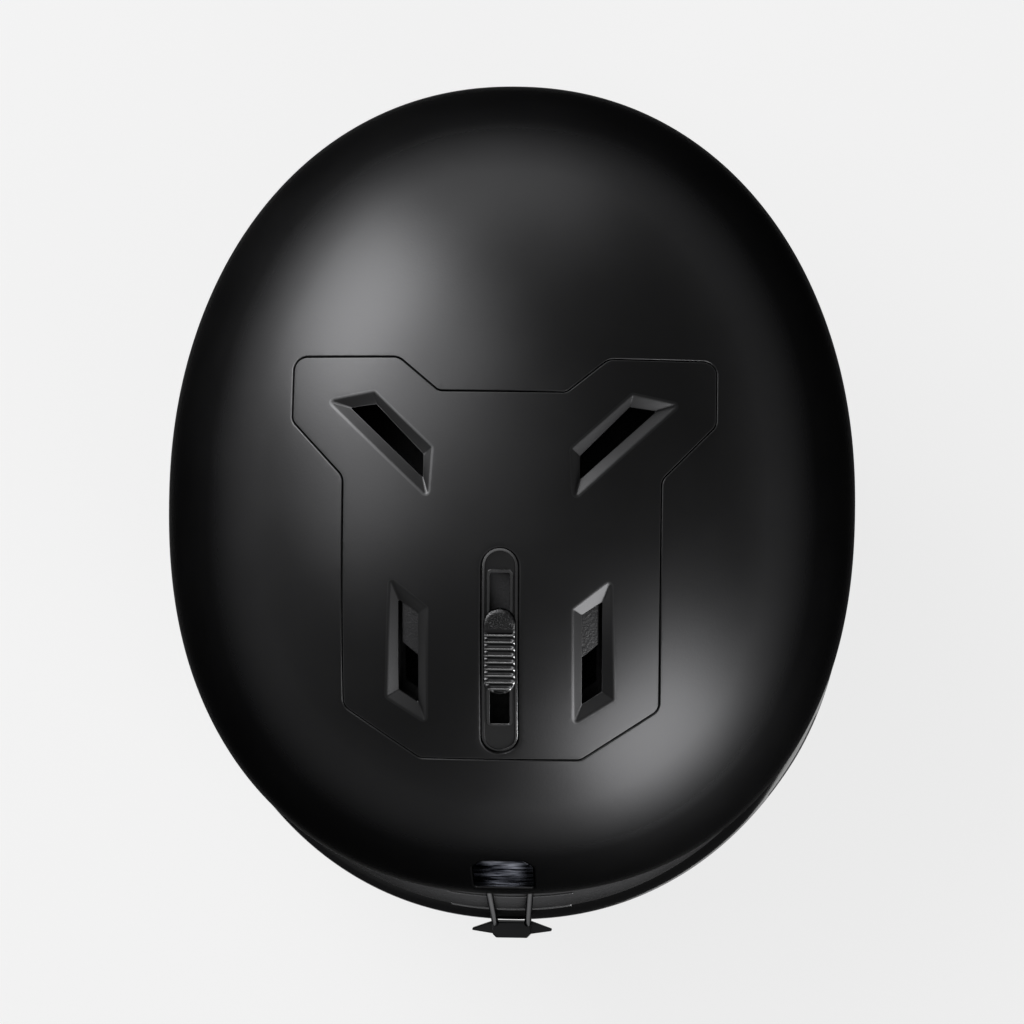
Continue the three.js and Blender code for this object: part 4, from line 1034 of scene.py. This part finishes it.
# ---------------------------------------------------------------------------------------
# Ear pads. Soft flaps of cloth over foam, one at each side, which hang from plastic bars
# let into the liner's rim. A knitted panel lies over the ear, inside an edge binding.
# ---------------------------------------------------------------------------------------
ear_inner_top, ear_lean, ear_wall, ear_top = 0.08, 0.01, 0.02, 0.0584
ear_steps = (0.0, 0.0005, 0.0013, 0.0025, 0.004)
ear_shoulder, binding_width, binding_half = 0.009, 0.0065, 0.0008
knit_along, knit_up, knit_half, knit_tall = -0.003, 0.031, 0.021, 0.019
ear_cloth = cloth("ear_soft_cloth", (0.018, 0.018, 0.0195), 0.0007, 0.0001, sheen=0.2)
ear_knit = cloth("ear_knitted_panel", (0.012, 0.012, 0.013), 0.0016, 0.0004, sheen=0.1)


def ear_inner(level):
    return ear_inner_top - ear_lean * (1.0 - np.minimum(level, ear_top) / ear_top)


def lay_ear(points, across, side):
    """Places points of the flap's flat pattern, along and up, at a distance out from its inner face."""
    x = side * (ear_inner(points[:, 1]) + across)
    return np.column_stack([x, points[:, 0] + widest_station, points[:, 1]])


def ear_outline():
    def curve(a, b, c, d, steps):
        t = np.linspace(0.0, 1.0, steps)[:-1, None]
        a, b, c, d = (np.array(p, dtype=float) / 1000 for p in (a, b, c, d))
        return (1 - t) ** 3 * a + 3 * (1 - t) ** 2 * t * b + 3 * (1 - t) * t ** 2 * c + t ** 3 * d
    top = ear_top * 1000 - 0.1
    foot = [np.array([[x, 0.0]]) / 1000 for x in np.linspace(-30.0, 26.0, 24)]
    rear = curve((27, 0.1), (38.5, 4), (41.5, 26), (37.6, top), 26)
    head = [np.array([[x, top]]) / 1000 for x in np.linspace(37.0, -42.0, 36)]
    front = curve((-42.6, top), (-46.5, 26), (-42.5, 5), (-31, 0.1), 26)
    return np.vstack(foot + [rear] + head + [front])


ear_loop = ear_outline()


def ear_height(gap):
    """How far a face of the flap swells from the middle of its thickness."""
    rise = np.sqrt(np.maximum(0.0, 1.0 - (1.0 - np.minimum(gap / ear_shoulder, 1.0)) ** 2))
    return (ear_wall / 2 - 0.0002) * (0.42 + 0.58 * rise)


for side, name in ((1, "left"), (-1, "right")):
    rings = [grown(ear_loop, -by) for by in ear_steps]
    for ring in rings:
        ring[:, 1] = np.maximum(ring[:, 1], 0.0)
    flat, faces = filled([rings[-1]], 0.0022)
    gap = from_edge(flat, ear_loop)
    bound = 0.0011 * np.exp(-((gap - binding_width) / binding_half) ** 2)
    panel_gap = np.hypot((flat[:, 0] - knit_along) / knit_half, (flat[:, 1] - knit_up) / knit_tall)
    welt = 0.0009 * np.exp(-((panel_gap - 1.02) / 0.05) ** 2)
    hollow = 0.0028 * (1.0 - smooth(0.72, 1.0, panel_gap)) + welt
    swell = ear_height(gap)
    inner_face = lay_ear(flat, ear_wall / 2 - swell + bound + hollow, side)
    outer_face = lay_ear(flat, ear_wall / 2 + swell - bound, side)
    edge = [lay_ear(ring, ear_wall / 2 - ear_height(np.full(len(ring), by)), side)
            for by, ring in reversed(list(zip(ear_steps, rings)))]
    piping = grown(ear_loop, -0.0007)
    piping[:, 1] = np.maximum(piping[:, 1], 0.0)
    edge += [lay_ear(piping, ear_wall / 2 - 0.0011, side), lay_ear(ear_loop, ear_wall / 2 - 0.0006, side),
             lay_ear(ear_loop, ear_wall / 2 + 0.0006, side), lay_ear(piping, ear_wall / 2 + 0.0011, side)]
    edge += [lay_ear(ring, ear_wall / 2 + ear_height(np.full(len(ring), by)), side)
             for by, ring in zip(ear_steps, rings)]
    points, all_faces = joined([(inner_face, faces), (outer_face, faces), strip(edge)])
    flap = make_piece(f"ear_flap_{name}", points, all_faces, ear_cloth, sharp=70.0)
    flap.data.materials.append(ear_knit)
    for face in flap.data.polygons:
        x, y, z = np.array(face.center)
        on_panel = math.hypot((y - widest_station - knit_along) / knit_half, (z - knit_up) / knit_tall) < 1.0
        if on_panel and abs(x) < ear_inner(z) + ear_wall / 2:
            face.material_index = 1
    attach(flap, "helmet")
    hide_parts(f"ear_pad_{name}")


def eased(node, name, width, material, body="helmet", turns=3, sharp=24.0, angle=30.0):
    """A moulded piece with the CAD node's shape, flat faces merged and every edge rounded."""
    shape = bmesh.new()
    shape.from_mesh(frame["nodes"][node].data)
    bmesh.ops.remove_doubles(shape, verts=shape.verts, dist=2e-6)
    bmesh.ops.dissolve_limit(shape, angle_limit=math.radians(1.0), verts=shape.verts, edges=shape.edges)
    bmesh.ops.recalc_face_normals(shape, faces=shape.faces)
    for edge in shape.edges:
        edge.smooth = len(edge.link_faces) != 2 or edge.calc_face_angle(0.0) < math.radians(sharp)
    for face in shape.faces:
        face.smooth = True
    mesh = bpy.data.meshes.new(name)
    shape.to_mesh(mesh)
    shape.free()
    mesh.materials.append(material)
    piece = bpy.data.objects.new(name, mesh)
    piece.matrix_world = frame["nodes"][node].matrix_world.copy()
    bpy.context.scene.collection.objects.link(piece)
    if width:
        rounding = piece.modifiers.new("rounded_edges", "BEVEL")
        rounding.width = width
        rounding.segments = turns
        rounding.limit_method = "ANGLE"
        rounding.angle_limit = math.radians(angle)
        rounding.use_clamp_overlap = True
        rounding.harden_normals = False
    weighted = piece.modifiers.new("even_shading", "WEIGHTED_NORMAL")
    weighted.keep_sharp = True
    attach(piece, body)
    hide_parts(node)
    return piece


for name in ("left", "right"):
    eased(f"ear_bar_{name}", f"ear_flap_bar_{name}", 0.0006, nylon_black)


# ---------------------------------------------------------------------------------------
# Harness. Woven straps run from steel rivets in the liner down each side to a divider, and
# on under the chin. They lie flat against the inner faces of the ear pads.
# ---------------------------------------------------------------------------------------
web_wall = 0.0014
web_half, rivet_stand, chin_outset = 0.0075, 0.0046, 0.0012
anchor_level, anchor_front, anchor_rear, web_top = 0.067, -0.026, 0.027, 0.072
divider_high, divider_wide, harness_station = 0.030, 0.027, -0.004
rivet_profile = [
    (1e-5, 0.0), (0.0015, 0.00002), (0.003, 0.0002), (0.0042, 0.0006), (0.0048, 0.0011), (0.0049, 0.0015),
    (0.0024, 0.0016), (0.0024, 0.0152), (0.0019, 0.0164), (1e-5, 0.0165)]
web_black = cloth("harness_webbing_black", (0.014, 0.014, 0.015), 0.0011, 0.00025, sheen=0.15)


def strap_between(stations, bulge=0.00025, edge=0.0011):
    """A flat woven strap through a list of (left edge, right edge, outward direction) stations."""
    across = np.linspace(0.0, 1.0, 15)
    rings = []
    for left, right, out in stations:
        left, right, out = (np.asarray(v, dtype=float) for v in (left, right, out))
        wide = np.linalg.norm(right - left)
        near = np.minimum(across, 1.0 - across) * wide
        half = (web_wall / 2 - bulge) * (0.55 + 0.45 * smooth(0.0, edge, near))
        half = half + bulge * smooth(0.0, edge * 1.5, near) * (0.75 + 0.25 * np.cos(across * math.pi * 10))
        line = left + (right - left) * across[:, None]
        rings.append(np.vstack([line + out * half[:, None], (line - out * half[:, None])[::-1]]))
    points, faces = strip(rings)
    count = len(rings[0])
    faces = list(faces) + [list(range(count))[::-1], [len(points) - count + i for i in range(count)]]
    return points, faces


for side, name in ((1, "left"), (-1, "right")):
    for end, station, way in (("front", anchor_front, -1), ("rear", anchor_rear, 1)):
        foot = divider_high + foam_gap
        foot_middle, foot_half = harness_station + way * divider_wide / 4, divider_wide / 4 - 0.0005
        stations = []
        for t in np.linspace(0.0, 1.0, 46):
            level = web_top - 0.0002 + (foot - web_top + 0.0002) * t
            front = station - web_half + (foot_middle - foot_half - station + web_half) * t + widest_station
            rear = station + web_half + (foot_middle + foot_half - station - web_half) * t + widest_station
            x = side * (ear_inner(level) - trim_gap - web_wall / 2)
            stations.append(((x, front, level), (x, rear, level), (side, 0.0, 0.0)))
        points, faces = strap_between(stations)
        web = make_piece(f"side_strap_{end}_{name}", points, faces, web_black, sharp=60.0)
        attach(web, "helmet")
        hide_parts(f"strap_{end}_{name}")
        face_at = ear_inner_top - rivet_stand
        points, faces = strip(turned(rivet_profile, 40))
        points = np.column_stack([side * (face_at + points[:, 2]), station + widest_station + points[:, 0],
                                  anchor_level + points[:, 1]])
        pin = make_piece(f"strap_rivet_{end}_{name}", points, faces, zinc)
        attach(pin, "helmet")
        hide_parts(f"anchor_{end}_{name}")
    eased(f"strap_divider_{name}", f"strap_ladder_{name}", 0.0009, nylon_black)

# the chin strap turns in from each divider, through the buckle on the left and the chin pad on the right
chin_level, chin_bend, chin_half = 0.0067, 0.009, 0.009
for side, name, node in ((1, "left", "chin_strap_left"), (-1, "right", "chin_strap_right")):
    low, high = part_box(node)
    outer = ear_inner(0.0) + chin_outset
    turn_x, turn_z = outer - web_wall / 2 - chin_bend, chin_level + chin_bend
    end = low[0] if side > 0 else -high[0]
    path = [(outer - web_wall / 2, z, 1.0, 0.0) for z in np.linspace(high[2], turn_z, 4)[:-1]]
    path += [(turn_x + chin_bend * math.cos(a), turn_z - chin_bend * math.sin(a), math.cos(a), -math.sin(a))
             for a in np.linspace(0.0, math.pi / 2, 16)]
    run_steps = 60 if side < 0 else 12
    path += [(x, chin_level, 0.0, -1.0) for x in np.linspace(turn_x, end, run_steps)[1:]]
    stations = [((side * x, harness_station - chin_half + widest_station, z),
                 (side * x, harness_station + chin_half + widest_station, z), (side * nx, 0.0, nz))
                for x, z, nx, nz in path]
    points, faces = strap_between(stations)
    web = make_piece(f"chin_web_{name}", points, faces, web_black, sharp=60.0)
    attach(web, "helmet")
    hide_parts(node)


# ---------------------------------------------------------------------------------------
# Buckle. A side-release buckle moulded in black nylon. The socket holds the left strap; the
# plug's tongue slides into it. Low ribs across both halves give the fingers a grip.
# ---------------------------------------------------------------------------------------
buckle_black = satin_plastic("buckle_satin_black", (0.012, 0.012, 0.0125), 0.38, 0.0006, 0.00003)
grip_count, grip_step, grip_inset, grip_radius = 5, 0.0023, 0.0045, 0.0005
for node, name, body, ribs_from in (("buckle_socket", "buckle_socket_half", "helmet", 0.034),
                                    ("buckle_plug", "buckle_plug_half", "buckle_plug", 0.009)):
    low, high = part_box(node)
    eased(node, name, 0.0012, buckle_black, body)
    for face in (low[2] + 0.0003, high[2] - 0.0003):
        lines = [np.linspace((x, low[1] + grip_inset, face), (x, high[1] - grip_inset, face), 4)
                 for x in [ribs_from + grip_step * i for i in range(grip_count)]]
        parts = [swept(line, grip_radius) for line in lines]
        points, faces = joined(parts)
        ribs = make_piece(f"{name}_ribs", points, faces, buckle_black, sharp=60.0, merge=1e-6)
        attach(ribs, body)
        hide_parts(node)


# ---------------------------------------------------------------------------------------
# Chin pad. A sleeve of short fleece over soft foam, sewn along both long edges and bound at
# the ends, with the right-hand chin strap passed through it.
# ---------------------------------------------------------------------------------------
pad_low, pad_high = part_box("chin_pad")
pad_middle = (np.array(pad_low) + np.array(pad_high)) / 2
pad_half = (np.array(pad_high) - np.array(pad_low)) / 2 - 0.0001
fleece = cloth("chin_pad_fleece", (0.024, 0.024, 0.026), 0.0006, 0.00035, sheen=0.6)


def sleeve_ring(along, half_wide, half_thick, power, seam=0.0):
    turn = np.linspace(0.0, 2.0 * math.pi, 96, endpoint=False)
    near_edge = np.exp(-(np.sin(turn) / 0.06) ** 2)
    y = bent(np.cos(turn), power) * (half_wide - seam * near_edge)
    z = bent(np.sin(turn), power) * half_thick
    return np.column_stack([np.full(96, along), pad_middle[1] + y, chin_level + z])


sleeve = []
for t in np.linspace(0.0, 1.0, 60):
    along = pad_low[0] + 0.0001 + (pad_high[0] - pad_low[0] - 0.0002) * t
    gap = min(along - pad_low[0], pad_high[0] - along)
    rise = math.sqrt(max(0.0, 1.0 - (1.0 - min(gap / 0.008, 1.0)) ** 2))
    stitched = 0.0004 * math.exp(-((gap - 0.0035) / 0.0005) ** 2)
    sleeve.append(sleeve_ring(along, pad_half[1] * (0.93 + 0.07 * rise) - stitched,
                              pad_half[2] * (0.52 + 0.48 * rise) - stitched, 2.9, 0.0009))
bore = np.linspace(pad_high[0] - 0.0004, pad_low[0] + 0.0004, 8)
sleeve += [sleeve_ring(along, 0.0094, 0.0011, 6.0) for along in bore]
points, faces = strip(sleeve + sleeve[:1])
chin_cushion = make_piece("chin_cushion", points, faces, fleece, sharp=70.0, merge=1e-6)
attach(chin_cushion, "helmet")
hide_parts("chin_pad")


# ---------------------------------------------------------------------------------------
# Fit system. A nylon case at the nape holds two toothed bands either side of a pinion, which
# the lobed dial turns, so that the bands slide apart or together. A padded rest covers the
# case toward the head, and an arm on each side, pinned in the liner, carries it.
# ---------------------------------------------------------------------------------------
fit_black = satin_plastic("fit_case_black", (0.013, 0.013, 0.0135), 0.44, 0.0006, 0.00003)
dial_black = satin_plastic("dial_soft_black", (0.010, 0.010, 0.0105), 0.55, 0.0008, 0.00006)
eased("dial_housing", "fit_case", 0.0007, fit_black)
eased("dial_pinion", "fit_pinion", 0.0002, fit_black, "fit_dial", turns=2)
for name in ("left", "right"):
    eased(f"rack_{name}", f"fit_band_{name}", 0.0002, fit_black, f"rack_{name}", turns=2)
    eased(f"fit_arm_{name}", f"fit_side_arm_{name}", 0.0006, fit_black)

dial_low, dial_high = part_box("fit_dial")
dial_radius, dial_lobe, dial_lobes, dial_steps = (dial_high[2] - dial_low[2]) / 2, 0.00055, 12, 240
dial_level, dial_back = (dial_high[2] + dial_low[2]) / 2, dial_low[1]
turn = np.linspace(0.0, 2.0 * math.pi, dial_steps, endpoint=False)
dial_profile = [
    (0.16, 0.0002), (0.5, 0.0002), (0.8, 0.0001), (0.93, 0.0001), (0.975, 0.0004), (1.0, 0.0012),
    (1.0, 0.0060), (0.99, 0.0068), (0.965, 0.0074), (0.925, 0.0078), (0.88, 0.0079), (0.84, 0.0078),
    (0.80, 0.0074), (0.765, 0.0066), (0.74, 0.0062), (0.66, 0.0060), (0.4, 0.0063), (0.15, 0.0065),
    (0.01, 0.0065)]
dial_rings = []
for share, out in dial_profile:
    lobing = dial_lobe * (1.0 - np.cos(dial_lobes * turn)) * float(smooth(0.86, 0.99, share))
    radius = dial_radius * share - lobing
    dial_rings.append(np.column_stack([radius * np.cos(turn), np.full(dial_steps, dial_back + out),
                                       dial_level + radius * np.sin(turn)]))
points, faces = strip(dial_rings)
faces = list(faces) + [list(range(dial_steps))]
dial = make_piece("fit_thumb_dial", points, faces, dial_black, sharp=50.0, merge=1e-6)
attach(dial, "fit_dial")
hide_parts("fit_dial")

nape_low, nape_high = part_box("nape_pad")


def lay_nape(points, inset):
    back = nape_high[1] - inset + foam_gap + np.zeros(len(points))
    return np.column_stack([points[:, 0], back, points[:, 1]])


nape_corners = [(nape_low[0], nape_low[2]), (nape_high[0], nape_low[2]), (nape_high[0], nape_high[2]),
                (nape_low[0], nape_high[2])]
nape_loop = grown(rounded_loop(nape_corners, [0.007] * 4, side_steps=30), -0.0002)
nape_cushion = pad_in_head("nape_cushion", nape_loop, lay_nape, nape_high[1] - nape_low[1] - 0.0002, 0.0024,
                           [(np.array([s, 0.0]), np.array([1.0, 0.0])) for s in (-0.0105, 0.0105)])
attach(nape_cushion, "helmet")
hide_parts("nape_pad")


# ---------------------------------------------------------------------------------------
# Goggle retainer. A bent wire bail swings from a block at the back of the shell and carries
# a moulded hook at its foot, under which a goggle strap is trapped.
# ---------------------------------------------------------------------------------------
retainer_black = satin_plastic("retainer_satin_black", (0.06, 0.06, 0.062), 0.3, 0.0006, 0.00003, slant=0.8)
# the wire takes a pale copy of the black: a painted highlight along it
wire_highlight = satin_plastic("retainer_wire_painted_highlight", (0.4, 0.4, 0.405), 0.14, 0.0006, 0.00002, slant=0.9)
swing = next(j for j in frame["joints"] if j["name"] == "retainer_swing")
swing_axis = np.array(swing["pos_m"])
wire_radius, wire_top, wire_foot, wire_out, wire_drop = 0.0012, 0.0073, 0.0056, 0.0151, 0.0307
eased("retainer_base", "retainer_block", 0.0006, retainer_black)
corner_run = 0.0022
leg = np.array([wire_foot - wire_top, wire_out, -wire_drop])
leg_way = leg / np.linalg.norm(leg)
half_wire = [np.array([wire_top, 0.0, 0.0]) + leg * (1.0 - t) for t in np.linspace(0.0, 0.9, 20)]
corner = np.array([wire_top, 0.0, 0.0])
half_wire += [(1 - t) ** 2 * (corner + leg_way * corner_run) + 2 * t * (1 - t) * corner
              + t ** 2 * (corner - np.array([corner_run, 0.0, 0.0])) for t in np.linspace(0.0, 1.0, 9)]
wire_path = half_wire + [p * np.array([-1.0, 1.0, 1.0]) for p in half_wire[::-1]]
points, faces = swept(np.array(wire_path) + swing_axis, wire_radius, 18)
bail = make_piece("retainer_wire", points, faces, wire_highlight, sharp=60.0, merge=1e-6)
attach(bail, "goggle_retainer")
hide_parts("retainer_bail")
eased("retainer_hook", "retainer_strap_hook", 0.0007, retainer_black, "goggle_retainer")


# ---------------------------------------------------------------------------------------
# Studio. A pale floor under the helmet, two large soft boxes, one ahead of it to its left
# and one behind it to its right, and four weaker scrims and boxes that fill in between.
# ---------------------------------------------------------------------------------------
floor_mesh = bpy.data.meshes.new("studio_floor")
floor_mesh.from_pydata([(-4, -4, 0), (4, -4, 0), (4, 4, 0), (-4, 4, 0)], [], [(0, 1, 2, 3)])
floor = bpy.data.objects.new("studio_floor", floor_mesh)
bpy.context.scene.collection.objects.link(floor)
floor_paint = bpy.data.materials.new("studio_floor_pale")
floor_paint.use_nodes = True
tree = floor_paint.node_tree
floor_shader = tree.nodes["Principled BSDF"]
feed(tree, floor_shader, {"Base Color": (0.87, 0.87, 0.87, 1.0), "Roughness": 0.9, "Specular IOR Level": 0.0})
glow = add_node(tree, "Emission", "Emission", {"Color": (0.925, 0.925, 0.925, 1.0)})
rays = tree.nodes.new("ShaderNodeLightPath").outputs
mirrored = add_node(tree, "Math", "Value", {0: rays["Is Glossy Ray"], 1: 0.26}, operation="MULTIPLY")
seen = add_node(tree, "Math", "Value", {0: rays["Is Camera Ray"], 1: mirrored}, operation="MAXIMUM")
seen = add_node(tree, "Math", "Value", {0: seen, 1: rays["Is Transmission Ray"]}, operation="MAXIMUM")
share = add_node(tree, "Math", "Value", {0: seen, 1: 0.84}, operation="MULTIPLY")
floor_mix = add_node(tree, "MixShader", "Shader", {"Fac": share, 1: floor_shader.outputs["BSDF"], 2: glow})
feed(tree, tree.nodes["Material Output"], {"Surface": floor_mix})
floor_mesh.materials.append(floor_paint)

world = bpy.data.worlds.new("studio_world")
bpy.context.scene.world = world
world.use_nodes = True
tree = world.node_tree
camera_ray = add_node(tree, "LightPath", "Is Camera Ray", {})
level = add_node(tree, "MapRange", "Result", {"To Min": 0.08, "To Max": 0.96, "Value": camera_ray})
feed(tree, tree.nodes["Background"], {"Color": (0.9, 0.9, 0.9, 1.0), "Strength": level})
centre = Vector((0.0, 0.0, equator))


def soft_box(name, place, wide, high, watts):
    """A rectangular lamp aimed at the middle of the helmet."""
    light = bpy.data.lights.new(name, "AREA")
    light.shape = "RECTANGLE"
    light.size, light.size_y, light.energy = wide, high, watts
    box = bpy.data.objects.new(name, light)
    box.location = place
    box.rotation_euler = (centre - Vector(place)).to_track_quat("-Z", "Y").to_euler()
    bpy.context.scene.collection.objects.link(box)
    return box


key = soft_box("front_left_soft_box", (0.875, -0.775, 0.547), 0.8, 0.7, 12.0)
halo = soft_box("front_left_scrim", (0.89, -0.89, 1.34), 1.5, 1.2, 8.8)
fill = soft_box("rear_right_soft_box", (-0.72, 0.92, 0.36), 0.75, 0.7, 10.3)
top = soft_box("overhead_scrim", (0.4, -0.4, 2.3), 1.6, 1.6, 2.4)
low_front = soft_box("low_front_soft_box", (0.0, -1.3, 0.34), 1.0, 0.5, 1.9)
left = soft_box("left_scrim", (1.05, -0.05, 1.05), 0.6, 0.6, 2.0)

camera_distance, camera_lean, camera_turn = 1.8, math.radians(1.83), math.radians(0.74)
lens = bpy.data.cameras.new("overhead_camera")
lens.lens = 186.8
lens.sensor_width = 36.0
lens.clip_end = 20.0
camera = bpy.data.objects.new("overhead_camera", lens)
bpy.context.scene.collection.objects.link(camera)
bpy.context.scene.camera = camera
aim = Vector((0.0, 0.00135 + widest_station, equator))
sideways = camera_distance * math.sin(camera_lean)
camera.location = aim + Vector((-sideways, 0.0, math.sqrt(camera_distance ** 2 - sideways ** 2)))
look = (aim - camera.location).normalized()
up = Vector((math.sin(camera_turn), -math.cos(camera_turn), 0.0))
right = look.cross(up).normalized()
up = right.cross(look)
camera.rotation_euler = Matrix((right, up, -look)).transposed().to_euler()

bpy.context.scene.view_settings.view_transform = "Standard"
